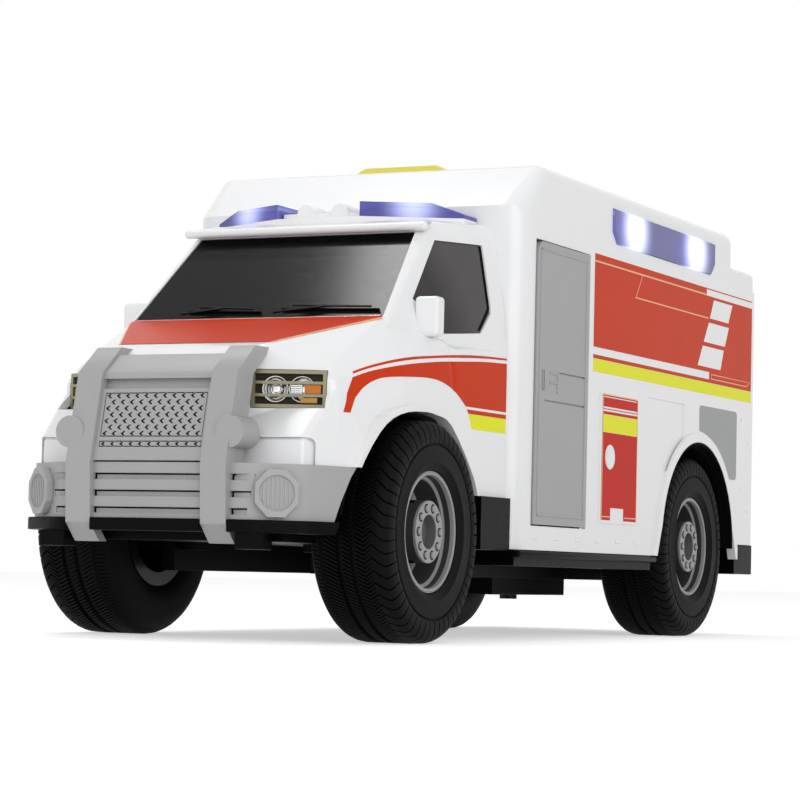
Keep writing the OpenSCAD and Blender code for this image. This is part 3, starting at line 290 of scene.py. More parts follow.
def lit_lens(name, colour, glow, spots, reach):
    """A clear lens that is bright near the diodes behind it; places and reach in millimetres."""
    material = moulded(
        name, colour, 0.12, mottle=0.05, bump=0.02, transmission_weight=0.35, ior=1.49
    )
    tree = material.node_tree
    point = object_point(tree)
    total = 0.0
    for spot in spots:
        away = add(
            tree,
            "ShaderNodeVectorMath",
            {0: point, 1: [part * MM for part in spot]},
            operation="DISTANCE",
        )
        near = add(
            tree,
            "ShaderNodeMapRange",
            {"Value": away.outputs["Value"], "From Max": reach * MM, "To Min": 1.0, "To Max": 0.0},
            interpolation_type="SMOOTHERSTEP",
        )
        near = math_node(tree, "POWER", near.outputs["Result"], GLOW_FALL)
        total = math_node(tree, "ADD", near, total)
    bsdf = shader_of(material)
    bsdf.inputs["Emission Color"].default_value = rgba(glow)
    strength = math_node(tree, "MULTIPLY", total, LENS_GLOW)
    tree.links.new(strength, bsdf.inputs["Emission Strength"])
    return material


# Roughness, mottling, grain, bump and spread of gloss for each finish, and its other shader values.
# No finish has the name of a slot, because the frame's own materials hold those names.
FINISHES = {
    "gloss_white": ("body", (0.22, 0.012, 700, 0.025, 0.05), {"coat_weight": 0.3}),
    "foil_red": ("stripe", (0.3, 0.05, 1500, 0.05, 0.05), {"ior": 1.12}),
    "foil_locker": ("locker", (0.32, 0.05, 1500, 0.05, 0.05), {"ior": 1.12}),
    "foil_lime": ("lime", (0.3, 0.03, 1500, 0.05, 0.05), {"ior": 1.12}),
    "foil_edge": ("foil_edge", (0.3, 0.04, 1500, 0.05), {}),
    "satin_grey": ("trim", (0.42, 0.04, 1600, 0.12, 0.07), {}),
    "door_grey": ("door", (0.46, 0.035, 1800, 0.14, 0.06), {}),
    "printed_grey": ("print_grey", (0.4, 0.03, 1500, 0.06), {}),
    "grained_black": ("chassis", (0.38, 0.25, 1400, 0.2, 0.1), {"specular_ior_level": 0.055}),
    # This black serves real liners and also the painted shade strips, rings and backings
    "liner_black": ("chassis", (0.75, 0.2, 1400, 0.2, 0.08), {"specular_ior_level": 0.05}),
    "tyre_rubber": ("tyre", (0.6, 0.16, 1100, 0.22, 0.1), {"specular_ior_level": 0.09}),
    "rim_shade": ("rim_dark", (0.5, 0.1, 1300, 0.1, 0.07), {"specular_ior_level": 0.25}),
    "rim_recess": ("recess", (0.45, 0.08, 1300, 0.08, 0.07), {"specular_ior_level": 0.3}),
    "rim_plastic": ("rim", (0.36, 0.05, 1300, 0.08, 0.07), {}),
    "smoked_gloss": ("smoke", (0.13, 0.2, 500, 0.01, 0.04), {"ior": 1.17}),
    "side_glass": ("side_glass", (0.13, 0.12, 500, 0.01, 0.04), {"ior": 1.15}),
    "lamp_housing": ("gold", (0.3, 0.08, 1200, 0.06, 0.06), {"metallic": 0.55}),
    "lamp_well": ("well", (0.45, 0.35, 420, 0.1, 0.08), {"specular_ior_level": 0.12}),
    "bright_metal": (BRIGHT_METAL, (0.16, 0.04, 900, 0.03, 0.05), {"metallic": 1.0}),
    "clear_orange": ("indicator", (0.16, 0.08, 900, 0.05), {"transmission_weight": 0.2}),
    "clear_amber": ("amber", (0.2, 0.1, 900, 0.06), {"transmission_weight": 0.2}),
    "clear_red": ("tail", (0.16, 0.08, 900, 0.05), {"transmission_weight": 0.15}),
    "plain_steel": ("steel", (0.3, 0.06, 2200, 0.1, 0.1), {"metallic": 1.0}),
    "dark_steel": ("screw", (0.35, 0.1, 2200, 0.1, 0.1), {"metallic": 1.0}),
    "cell_sleeve": ("cell", (0.3, 0.08, 800, 0.04), {}),
    "board_resist": ("board", (0.35, 0.25, 300, 0.1), {}),
    "speaker_paper": (PAPER_CONE, (0.7, 0.2, 1500, 0.25), {}),
    "button_gloss": ("button", (0.25, 0.03, 900, 0.04), {"coat_weight": 0.2}),
    "diode": (DIODE_WHITE, (0.15, 0.03, 900, 0.02), {"emission_strength": 3.0}),
}


def build_materials():
    """Makes every finish on the toy."""
    c = colours()
    for name, (colour, surface, shader) in FINISHES.items():
        moulded(name, getattr(c, colour) if isinstance(colour, str) else colour, *surface, **shader)
    shader_of(finish("diode")).inputs["Emission Color"].default_value = rgba(c.glow)
    paint_tread_shade(finish("tyre_rubber"))
    paint_rim_back_shade(finish("rim_plastic"))
    band_windscreen(finish("smoked_gloss"))
    shade_side_glass(finish("side_glass"))
    lit_lens("side_lens", c.lens, c.glow, SIDE_DIODES, SIDE_REACH)
    lit_lens("bar_lens", c.lens, c.glow, BAR_DIODES, BAR_REACH)


def finish(name):
    return bpy.data.materials[name]


def paint_tread_shade(material):
    """Paints shade on the tyres: the tread is darker than the walls of a tyre."""
    tree = material.node_tree
    part = axes_of(tree)
    away = []
    for y in AXLES.values():
        across = math_node(tree, "SUBTRACT", part["Y"], y * MM)
        up = math_node(tree, "SUBTRACT", part["Z"], AXLE_Z * MM)
        squares = [math_node(tree, "MULTIPLY", v, v) for v in (across, up)]
        away.append(math_node(tree, "SQRT", math_node(tree, "ADD", *squares)))
    outer = soft_step(tree, math_node(tree, "MINIMUM", *away), *TREAD_SHADE_EDGE)
    overpaint(material, outer, colours().tread)


def paint_rim_back_shade(material):
    """Painted shade: the side of a rim that faces the axle is darkened."""
    tree = material.node_tree
    across = math_node(tree, "ABSOLUTE", axes_of(tree)["X"])
    overpaint(material, soft_step(tree, across, *RIM_BACK_SHADE_EDGE), colours().tyre)


def band_windscreen(material):
    """The glazing has a black printed band along its upper edge."""
    tree = material.node_tree
    overpaint(material, soft_step(tree, axes_of(tree)["Z"], *GLASS_BAND_EDGE), GLASS_BAND)


def shade_side_glass(material):
    """Painted shade and sheen on the side glazing: it is darker towards the front and lighter
    towards the back, along a line that leans back with height.
    """
    tree = material.node_tree
    part = axes_of(tree)
    back = math_node(tree, "MULTIPLY", part["Z"], SIDE_SHADE_LEAN)
    lean = math_node(tree, "ADD", back, part["Y"])
    overpaint(material, soft_step(tree, lean, *SIDE_SHADE_EDGE), SIDE_GLASS_PAINTED_SHADE)


# Meshes


def put(name, data):
    """A new object in the scene."""
    holder = bpy.data.objects.new(name, data)
    bpy.context.scene.collection.objects.link(holder)
    return holder


def baked(holder):
    """The mesh of an object with its modifiers applied, in place of the object."""
    bpy.context.view_layer.update()
    evaluated = holder.evaluated_get(bpy.context.evaluated_depsgraph_get())
    mesh = bpy.data.meshes.new_from_object(evaluated)
    bpy.data.objects.remove(holder)
    return mesh


def make_piece(name, mesh, body, material, smooth=35.0):
    """Turns a mesh into a named piece that rides on a CAD body."""
    mesh.materials.clear()
    mesh.materials.append(material)
    mesh.shade_smooth()
    mesh.set_sharp_from_angle(angle=math.radians(smooth))
    piece = put(name, mesh)
    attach(piece, body)
    return piece


def mesh_from(name, build):
    """A mesh filled by a function that works on a bmesh in millimetres."""
    bm = bmesh.new()
    build(bm)
    bmesh.ops.remove_doubles(bm, verts=bm.verts, dist=0.0005)
    bmesh.ops.delete(bm, geom=[v for v in bm.verts if not v.link_faces], context="VERTS")
    bmesh.ops.recalc_face_normals(bm, faces=bm.faces)
    bmesh.ops.scale(bm, vec=(MM, MM, MM), verts=bm.verts)
    mesh = bpy.data.meshes.new(name)
    bm.to_mesh(mesh)
    bm.free()
    return mesh


def add_block(bm, low, high, round_off, place=Matrix.Identity(4)):
    """A block between two corners with rounded edges."""
    verts = bmesh.ops.create_cube(bm, size=1.0)["verts"]
    for v in verts:
        v.co = [l + (h - l) * (k + 0.5) for l, h, k in zip(low, high, v.co)]
    made = bmesh.ops.bevel(
        bm,
        geom=list({e for v in verts for e in v.link_edges}),
        offset=round_off,
        segments=3,
        profile=0.5,
        affect="EDGES",
        clamp_overlap=True,
    )
    bmesh.ops.transform(bm, matrix=place, verts=list(set(made["verts"])))


def add_lathe(bm, profile, steps, place):
    """A shape turned about its own X axis from (x, radius) pairs; ends at radius 0 close up."""
    turns = [2 * math.pi * i / steps for i in range(steps)]
    rings = [
        [
            bm.verts.new(place @ Vector((x, r * math.cos(t), r * math.sin(t))))
            for t in (turns if r > 0 else turns[:1])
        ]
        for x, r in profile
    ]
    for a, b in zip(rings, rings[1:]):
        for i in range(steps):
            j = (i + 1) % steps
            quad = [a[i % len(a)], a[j % len(a)], b[j % len(b)], b[i % len(b)]]
            face = list(dict.fromkeys(quad))
            if len(face) > 2:
                bm.faces.new(face)


def blocks(corners, round_off, place=Matrix.Identity(4)):
    """A function that fills a bmesh with blocks, each between a lower and an upper corner."""

    def build(bm):
        for low, high in corners:
            add_block(bm, low, high, round_off, place)

    return build


def turned(sections, steps=ROUND_SIDES, places=(Matrix.Identity(4),)):
    """A function that fills a bmesh with half sections turned about X, all of them at each place."""

    def build(bm):
        for place in places:
            for section in sections:
                add_lathe(bm, section, steps, place)

    return build


def mirrored(mesh, name):
    """A copy on the other side of the vehicle, with its faces turned outward again."""
    copy = mesh.copy()
    copy.name = name
    copy.transform(Matrix.Diagonal((-1, 1, 1, 1)))
    copy.flip_normals()
    return copy


# Repeated detail, by Geometry Nodes


def new_group(name, inputs):
    """A Geometry Nodes tree that takes geometry and other inputs and gives geometry back."""
    tree = bpy.data.node_groups.new(name, "GeometryNodeTree")
    for label, kind in [("Geometry", "Geometry")] + inputs:
        tree.interface.new_socket(label, in_out="INPUT", socket_type="NodeSocket" + kind)
    tree.interface.new_socket("Geometry", in_out="OUTPUT", socket_type="NodeSocketGeometry")
    return tree, tree.nodes.new("NodeGroupInput").outputs


def end_group(tree, last):
    """Sends a node's geometry out of its tree."""
    leave = tree.nodes.new("NodeGroupOutput")
    tree.links.new(last.outputs[0], leave.inputs[0])
    return tree


def set_inputs(modifier, values):
    """Fills in the inputs of a Geometry Nodes modifier by their names."""
    for item in modifier.node_group.interface.items_tree:
        if item.in_out == "INPUT" and item.name in values:
            modifier[item.identifier] = values[item.name]


def repeat_tree():
    """Node tree that repeats a shape in columns and rows, or round the X axis."""
    inputs = [
        ("Shape", "Object"), ("Columns", "Int"), ("Rows", "Int"), ("Step", "Vector"),
        ("Row step", "Vector"), ("Turn", "Float"), ("Merge", "Float"), ("Material", "Material"),
    ]
    tree, enter = new_group("Repeated detail", inputs)
    index = add(tree, "GeometryNodeInputIndex").outputs[0]
    total = math_node(tree, "MULTIPLY", enter["Columns"], enter["Rows"])
    column = math_node(tree, "FLOORED_MODULO", index, enter["Columns"])
    row = math_node(tree, "FLOOR", math_node(tree, "DIVIDE", index, enter["Columns"]))

    def along(direction, amount):
        return add(
            tree, "ShaderNodeVectorMath", {0: direction, "Scale": amount}, operation="SCALE"
        ).outputs["Vector"]

    steps = {0: along(enter["Step"], column), 1: along(enter["Row step"], row)}
    spot = add(tree, "ShaderNodeVectorMath", steps, operation="ADD").outputs["Vector"]
    points = add(tree, "GeometryNodePoints", {"Count": total, "Position": spot})
    angle = math_node(tree, "MULTIPLY", index, enter["Turn"])
    rotation = add(tree, "ShaderNodeCombineXYZ", {"X": angle})
    shape = add(tree, "GeometryNodeObjectInfo", {"Object": enter["Shape"]})
    copies = add(
        tree,
        "GeometryNodeInstanceOnPoints",
        {
            "Points": points.outputs[0],
            "Instance": shape.outputs["Geometry"],
            "Rotation": rotation.outputs["Vector"],
        },
    )
    real = add(tree, "GeometryNodeRealizeInstances", {"Geometry": copies.outputs[0]})
    joined = add(
        tree,
        "GeometryNodeMergeByDistance",
        {"Geometry": real.outputs[0], "Distance": enter["Merge"]},
    )
    done = add(
        tree,
        "GeometryNodeSetMaterial",
        {"Geometry": joined.outputs[0], "Material": enter["Material"]},
    )
    return end_group(tree, done)


def repeated(name, shape, material, **values):
    """A plain mesh of a shape repeated by the node tree."""
    model = put(name + "_shape", shape)
    host = put(name + "_host", bpy.data.meshes.new(name + "_host"))
    modifier = host.modifiers.new("Repeat", "NODES")
    modifier.node_group = bpy.data.node_groups.get("Repeated detail") or repeat_tree()
    wanted = {"Shape": model, "Material": material}
    wanted.update({"Columns": 1, "Rows": 1, "Turn": 0.0, "Merge": 1e-6})
    wanted.update({key.replace("_", " ").capitalize(): value for key, value in values.items()})
    set_inputs(modifier, wanted)
    mesh = baked(host)
    bpy.data.objects.remove(model)
    if not mesh.polygons:
        raise RuntimeError("the repeated detail " + name + " came out empty")
    return mesh


# Finishing the CAD nodes
JOIN_DISTANCE = 2e-6
FLAT_ANGLE = math.radians(0.3)
BEVEL_ANGLE = math.radians(40)
SHARP_ANGLE = math.radians(38)


def smoothing_tree():
    """Node tree that joins loose triangles and smooths all but the sharp edges."""
    tree, enter = new_group("Join and smooth", [("Angle", "Float")])
    plain = add(
        tree, "GeometryNodeRemoveAttribute", {"Geometry": enter["Geometry"], "Name": "custom_normal"}
    )
    smooth = add(
        tree,
        "GeometryNodeSetShadeSmooth",
        {"Geometry": plain.outputs[0], "Shade Smooth": True},
        domain="FACE",
    )
    bend = add(tree, "GeometryNodeInputMeshEdgeAngle").outputs["Unsigned Angle"]
    sharp = add(tree, "FunctionNodeCompare", {0: bend, 1: enter["Angle"]}, operation="GREATER_THAN")
    edges = add(
        tree,
        "GeometryNodeSetShadeSmooth",
        {"Geometry": smooth.outputs[0], "Selection": sharp.outputs[0], "Shade Smooth": False},
        domain="EDGE",
    )
    return end_group(tree, edges)


def dress(node, material, round_off):
    """Gives a CAD node its finish, with joined triangles and softly rounded edges."""
    part = NODES[node]
    part.data.materials.clear()
    part.data.materials.append(material)
    weld = part.modifiers.new("Join", "WELD")
    weld.merge_threshold = JOIN_DISTANCE
    if round_off > 0:
        flat = part.modifiers.new("Flat faces", "DECIMATE")
        flat.decimate_type = "DISSOLVE"
        flat.angle_limit = FLAT_ANGLE
        bevel = part.modifiers.new("Edges", "BEVEL")
        bevel.width = round_off
        bevel.segments = 2
        bevel.limit_method = "ANGLE"
        bevel.angle_limit = BEVEL_ANGLE
        bevel.use_clamp_overlap = True
    smooth = part.modifiers.new("Smooth", "NODES")
    smooth.node_group = bpy.data.node_groups.get("Join and smooth") or smoothing_tree()
    set_inputs(smooth, {"Angle": SHARP_ANGLE})
    weighted = part.modifiers.new("Flat shading", "WEIGHTED_NORMAL")
    weighted.keep_sharp = True


# Foils


def loop_points(outline, step):
    """An outline with points no further apart than a step."""
    points = []
    for a, b in zip(outline, outline[1:] + outline[:1]):
        count = max(1, math.ceil(math.dist(a, b) / step))
        points += [
            (a[0] + (b[0] - a[0]) * i / count, a[1] + (b[1] - a[1]) * i / count)
            for i in range(count)
        ]
    return points


def inside(point, loops):
    """Whether a point lies inside an odd number of loops."""
    x, y = point
    found = False
    for loop in loops:
        for (x0, y0), (x1, y1) in zip(loop, loop[1:] + loop[:1]):
            if (y0 > y) != (y1 > y) and x < x0 + (y - y0) * (x1 - x0) / (y1 - y0):
                found = not found
    return found


def smooth_line(points, parts=5):
    """A smooth line through points."""
    line = []
    for i in range(len(points) - 1):
        p = [Vector(points[max(0, min(len(points) - 1, i + k))]) for k in (-1, 0, 1, 2)]
        for j in range(parts):
            t = j / parts
            first = (p[2] - p[0]) * t
            second = (2 * p[0] - 5 * p[1] + 4 * p[2] - p[3]) * t * t
            third = (3 * p[1] - p[0] - 3 * p[2] + p[3]) * t * t * t
            line.append(tuple(0.5 * (2 * p[1] + first + second + third)))
    return line + [tuple(points[-1])]


# How far along a ray that misses, in metres, the nearest surface is looked for
RAY_MISS = 0.15
# For each side, where a ray towards the vehicle starts, in metres, and its direction
AXES = {
    "left": (lambda a, b: Vector((0.2, a, b)), Vector((-1, 0, 0))),
    "right": (lambda a, b: Vector((-0.2, a, b)), Vector((1, 0, 0))),
    "above": (lambda a, b: Vector((a, b, 0.3)), Vector((0, 0, -1))),
    "front": (lambda a, b: Vector((a, -0.3, b)), Vector((0, 1, 0))),
}


def node_surface(node):
    """A search tree over a CAD node's triangles."""
    mesh = NODES[node].data
    return BVHTree.FromPolygons([v.co for v in mesh.vertices], [p.vertices for p in mesh.polygons])


def cut_sheet(loops, step=0.0):
    """Flat triangles that fill loops by the even-odd rule, in a grid where a step is given."""
    outlines = [loop_points(list(loop), step or 1e3) for loop in loops]
    points, edges = [], []
    for outline in outlines:
        start = len(points)
        points += outline
        edges += [(start + i, start + (i + 1) % len(outline)) for i in range(len(outline))]
    if step:
        low = [min(p[k] for p in points) for k in (0, 1)]
        high = [max(p[k] for p in points) for k in (0, 1)]
        grid = [
            (low[0] + step * i, low[1] + step * j)
            for i in range(1, int((high[0] - low[0]) / step))
            for j in range(1, int((high[1] - low[1]) / step))
        ]
        points += [p for p in grid if inside(p, outlines)]
    flat, _, faces, *_ = delaunay_2d_cdt([Vector(p) for p in points], edges, [], 0, 1e-5)
    middles = [sum((flat[i] for i in face), Vector((0, 0))) / len(face) for face in faces]
    return flat, [f for f, middle in zip(faces, middles) if inside(tuple(middle), outlines)]


def add_plate(bm, loops, near, far, to_point):
    """A plate with holes between two depths; to_point places (a, b, depth)."""
    flat, faces = cut_sheet(loops)
    front, back = ([bm.verts.new(to_point(p.x, p.y, d)) for p in flat] for d in (near, far))
    walls = {}
    for face in faces:
        bm.faces.new([front[i] for i in face])
        bm.faces.new([back[i] for i in reversed(face)])
        for a, b in zip(face, face[1:] + face[:1]):
            walls[frozenset((a, b))] = None if frozenset((a, b)) in walls else (a, b)
    for a, b in filter(None, walls.values()):
        bm.faces.new([front[a], front[b], back[b], back[a]])


def rectangle(left, bottom, right, top):
    """Corners of a rectangle, from the lower left one round."""
    return [(left, bottom), (right, bottom), (right, top), (left, top)]


def circle(a, b, r, steps=ROUND_SIDES):
    """Points of a circle."""
    turns = [2 * math.pi * i / steps for i in range(steps)]
    return [(a + r * math.cos(t), b + r * math.sin(t)) for t in turns]


def foil(name, node, side, loops, material, step, lift):
    """A thin foil cut to flat loops, in millimetres, and laid on a CAD node from one side."""
    flat, kept = cut_sheet(loops, step)
    surface = node_surface(node)
    start_at, towards = AXES[side]
    placed = []
    for p in flat:
        start = start_at(p.x * MM, p.y * MM)
        hit, normal, _, _ = surface.ray_cast(start, towards)
        if hit is None:
            hit, normal, _, _ = surface.find_nearest(start + towards * RAY_MISS)
        placed.append(hit + normal * sizes().foil_lift * lift)
    mesh = bpy.data.meshes.new(name)
    mesh.from_pydata(placed, [], kept)
    bm = bmesh.new()
    bm.from_mesh(mesh)
    bmesh.ops.delete(bm, geom=[v for v in bm.verts if not v.link_faces], context="VERTS")
    for face in bm.faces:
        face.normal_update()
        if face.normal.dot(towards) > 0:
            face.normal_flip()
    bm.to_mesh(mesh)
    bm.free()
    return make_piece(name, thickened(mesh), "base", material, 60)


def thickened(mesh):
    """A sheet's mesh with the foil's thickness added below it."""
    holder = put(mesh.name, mesh)
    thick = holder.modifiers.new("Foil", "SOLIDIFY")
    thick.thickness = sizes().foil_thickness
    thick.offset = -1
    return baked(holder)


def ring_loops(outline, width):
    """An outline and a copy drawn in by a width, as the two edges of a line."""
    count = len(outline)
    area = sum(a[0] * b[1] - b[0] * a[1] for a, b in zip(outline, outline[1:] + outline[:1]))
    turn = 1 if area > 0 else -1
    inner = []
    for i in range(count):
        before, here, after = (Vector(outline[(i + k) % count]) for k in (-1, 0, 1))
        a = (here - before).normalized()
        b = (after - here).normalized()
        na, nb = Vector((-a.y, a.x)) * turn, Vector((-b.y, b.x)) * turn
        bisector = na + nb
        inner.append(tuple(here + bisector * (width / max(0.2, 1 + na.dot(nb)))))
    return [list(outline), inner]


# Outlines of the foils, in millimetres: (y, z) on the sides and (x, y) on the hood
STRIPE_TOP = [
    (-121.1, 66.8), (-113.9, 69.0), (-101.5, 71.7), (-86.2, 73.5), (-71.8, 74.8), (-58.1, 75.6),
    (-45.6, 76.0),
]
STRIPE_LINE = [
    (-121.4, 66.2), (-114.1, 68.4), (-101.9, 71.0), (-86.2, 72.9), (-71.8, 74.1), (-58.1, 75.0),
    (-45.6, 75.5),
]
STRIPE_MAIN = [
    (-121.8, 65.3), (-114.5, 67.5), (-102.4, 69.9), (-86.2, 71.9), (-71.8, 73.1), (-58.1, 74.1),
    (-45.6, 74.6),
]
STRIPE_ARCH = [
    (-124.8, 56.4), (-121.0, 60.4), (-117.7, 63.3), (-113.6, 65.3), (-108.9, 66.3), (-100.2, 67.0),
    (-91.3, 67.4), (-84.6, 67.0), (-78.0, 65.5), (-73.5, 63.4), (-70.2, 61.5),
]
CAB_RED = [
    smooth_line(STRIPE_TOP) + smooth_line(STRIPE_LINE)[::-1],
    [(-127.1, 56.4), (-123.9, 61.2)] + smooth_line(STRIPE_MAIN) + [(-45.6, 61.5)]
    + smooth_line(STRIPE_ARCH)[::-1],
    [(-69.5, 60.8), (-45.6, 60.8), (-45.6, 59.7), (-68.7, 59.7)],
]
CAB_LIME = [[(-68.6, 59.65), (-45.6, 59.65), (-45.6, 55.7), (-66.6, 55.7)]]
HOOD_RED = [
    (-21.5, -129.8), (21.5, -129.8), (36.9, -100.6), (36.6, -98.0), (-36.6, -98.0), (-36.9, -100.6),
]
HOOD_EDGE = [[(21.55, -129.8), (22.1, -129.8), (37.5, -100.4), (36.95, -100.4)]]
# A black strip along the side window's rear edge, painted shadow of the window's reveal
WINDOW_REVEAL_SHADOW = [
    (-51.9, 105.9), (-50.8, 105.9), (-51.95, 88.7), (-57.4, 82.5), (-58.6, 82.5), (-53.1, 88.9),
]
# Grid step of foils on curved sides, and the lifts over the surface of lines and of the hood's foil
CURVED_STEP = 0.9
LINE_LIFT = 2.2
HOOD_LIFT = 2.0
# Places and sizes of the painted shade strips in the bumper's slots
BUMPER_BOTTOM = 29.5
SLOT_HEIGHTS = (31.4, 35.5, 39.6)
SLOT_MIDDLE = 15.5
SLOT_SIDE = 22.5
SLOT_SHORT = 4
SLOT_GROWTH = 0.2
SLOT_MARGIN = 0.06
SLOT_HALF = 0.72
SLOT_LINE = 0.38
BOX_BACK = 147.1
BAND_FRONT = 7.0
DOORLESS_FRONT = -36.4
BOX_RED = [
    rectangle(7.0, 108.85, 102.2, 110.75),
    [
        (7.0, 108.25), (7.0, 83.85), (105.8, 84.1), (105.8, 81.75), (7.0, 81.65), (7.0, 80.55),
        (BOX_BACK, 80.75), (BOX_BACK, 108.4),
    ],
    [(109.1, 107.5), (127.4, 107.5), (123.6, 101.3), (105.5, 101.3)],
    [(104.6, 99.9), (124.2, 99.9), (120.6, 93.4), (100.1, 93.4)],
    [(99.2, 92.1), (119.6, 92.1), (116.6, 85.5), (94.8, 85.5)],
    [(102.2, 110.4), (BOX_BACK, 110.45), (BOX_BACK, 110.8), (102.2, 110.75)],
]
BOX_LINES = [
    [(7.0, 108.3), (7.0, 108.8), (102.2, 108.8), (102.2, 108.3)],
    [(44.5, 108.2), (39.3, 101.0), (103.9, 101.0), (104.1, 101.4), (39.95, 101.4), (44.95, 108.2)],
]
BOX_LINES += ring_loops([(107.4, 83.6), (145.8, 83.6), (142.0, 81.9), (107.4, 81.9)], 0.3)
BOX_LIME = [[(6.9, 76.75), (6.9, 80.45), (BOX_BACK, 80.65), (BOX_BACK, 76.95)]]
LOCKER_RED = [
    [
        (14.2, 34.4), (21.3, 34.4), (21.3, 38.0), (31.8, 38.0), (31.8, 34.4), (41.9, 34.4),
        (41.9, 59.75), (14.2, 59.75),
    ],
    rectangle(14.2, 65.0, 41.9, 65.85),
    [(14.2, 67.2), (41.9, 67.2), (41.9, 70.3), (41.3, 70.8), (14.8, 70.8), (14.2, 70.3)],
    rectangle(14.9, 69.9, 41.2, 70.2),
    rectangle(14.8, 66.4, 41.3, 66.65),
]
LOCKER_LINES = [
    rectangle(14.1, 34.4, 14.45, 70.5),
    rectangle(41.65, 34.4, 42.0, 70.5),
    rectangle(14.6, 70.5, 41.5, 70.85),
    rectangle(14.5, 35.2, 21.0, 35.55),
    rectangle(32.1, 35.2, 41.6, 35.55),
]
LOCKER_LIME = [rectangle(14.2, 59.85, 41.9, 64.9)]
PANEL_ARCH = 36.6
GREY_PANEL = [
    (97.3, 71.6), (97.7, 72.6), (98.7, 73.0), (132.0, 73.0), (133.0, 72.6), (133.4, 71.6),
    (133.4, 51.7), (132.4, 50.7), (125.0, 50.7),
]
GREY_PANEL += [
    (
        AXLES["rear"] + PANEL_ARCH * math.cos(math.radians(a)),
        AXLE_Z + PANEL_ARCH * math.sin(math.radians(a)),
    )
    for a in range(40, 89, 4)
]


# Operators


# The bumper's small slots need a finer rounding than the other mouldings
BUMPER_EDGE = 0.4
# For each finish, the nodes that keep their edges and then those whose edges are rounded
NODE_FINISHES = {
    "gloss_white": (
        ["cab_shell", "mirror_left", "mirror_right", "bulkhead", "box_roof"],
        ["light_bar_base", "box_left_panel", "box_right_panel", "rear_frame", "rear_door_left",
         "rear_door_right"],
    ),
    "satin_grey": (["grille", "cargo_floor"], ["bumper", "fog_lamps", "bull_bar"]),
    "door_grey": ([], ["side_door"]),
    "grained_black": (["wipers"], ["chassis", "battery_cover", "front_skid", "rear_bumper"]),
    "rim_plastic": ([f"{axle}_{side}_rim" for axle in AXLES for side in SIDES], []),
    "tyre_rubber": ([f"{axle}_{side}_tyre" for axle in AXLES for side in SIDES], []),
    "smoked_gloss": (["windscreen"], []),
    "side_glass": (["side_window_left", "side_window_right"], []),
    "lamp_housing": (["headlight_left", "headlight_right"], []),
    "side_lens": ([], ["side_lens_left", "side_lens_right"]),
    "bar_lens": ([], ["light_bar_lens_left", "light_bar_lens_right"]),
    "diode": (["leds"], []),
    "button_gloss": ([], ["roof_button"]),
    "clear_red": ([], ["tail_lamps"]),
    "plain_steel": (
        ["front_axle", "rear_axle", "side_door_pin", "rear_door_pins", "battery_contacts"], [],
    ),
    "dark_steel": (["battery_cover_screw", "assembly_screws", "board_screws"], []),
    "cell_sleeve": (["battery_cells"], []),
    "board_resist": (["circuit_board"], []),
    "speaker_paper": (["speaker", "button_switch"], []),
}


class AMBULANCE_OT_finishes(bpy.types.Operator):
    """Gives every CAD node its finish"""

    bl_idname = "ambulance.finishes"
    bl_label = "Node finishes"

    def execute(self, context):
        build_materials()
        edge = sizes().edge_round
        missed = set(NODES)
        for name, groups in NODE_FINISHES.items():
            for nodes, round_off in zip(groups, (0.0, edge)):
                for node in nodes:
                    share = BUMPER_EDGE if node == "bumper" else 1
                    dress(node, finish(name), round_off * share)
                    missed.discard(node)
        if missed:
            raise RuntimeError(f"no finish for {sorted(missed)}")
        return {"FINISHED"}


def tyre_profile():
    """The tyre's section from the inner bead outward: (x, radius, share of the lug gap's depth)."""
    points = [(30.0, 15.6, 0), (29.2, 17.0, 0), (28.7, 18.4, 0), (28.6, 20.5, 0)]
    for i in range(7):
        a = math.radians(-90 + 15 * i)
        points.append((33.6 + 5 * math.sin(a), 23.2 + 5 * math.cos(a), 0.35 if i > 3 else 0))
    groove = TYRE_R - 0.9
    points += [(35.4, TYRE_R, 1), (37.2, TYRE_R, 1), (37.5, groove, 0), (38.5, groove, 0),
               (38.8, TYRE_R, 0.7), (40.9, TYRE_R, 0.7), (41.2, groove, 0), (42.1, groove, 0),
               (42.4, TYRE_R, 1), (44.8, TYRE_R, 1), (46.9, TYRE_R - 0.1, 1)]
    for i in range(1, 9):
        a = math.radians(11 * i)
        points.append((47.5 + 3.3 * math.sin(a), 24.8 + 3.3 * math.cos(a), 1 if i < 8 else 0.7))
    points += [(50.95, 23.9, 0.55), (50.9, 23.1, 0.3), (50.75, 22.5, 0.0), (50.3, 22.3, 0),
               (50.3, 22.0, 0), (50.75, 21.8, 0), (50.85, 20.8, 0), (50.8, 18.6, 0), (50.9, 18.2, 0),
               (50.9, 17.5, 0), (50.55, 17.2, 0), (50.1, 16.4, 0), (49.7, 15.6, 0)]
    return points


# Steps round one pitch of the tyre: the share of the pitch, and whether it has a tread or a lug gap
LUG_STEPS = [
    (0, 1, 1), (0.08, 1, 1), (0.12, 0, 0), (0.29, 0, 0), (0.33, 1, 0), (0.41, 1, 0), (0.45, 0, 0),
    (0.62, 0, 0), (0.66, 1, 0), (0.74, 1, 0), (0.78, 0, 0), (0.96, 0, 0), (1.0, 1, 1),
]
TREAD_X = (33, 41, 46.5)
SHOULDER = 4.0
TREAD_LEAN = 0.16
LUG_LEAN = 0.88


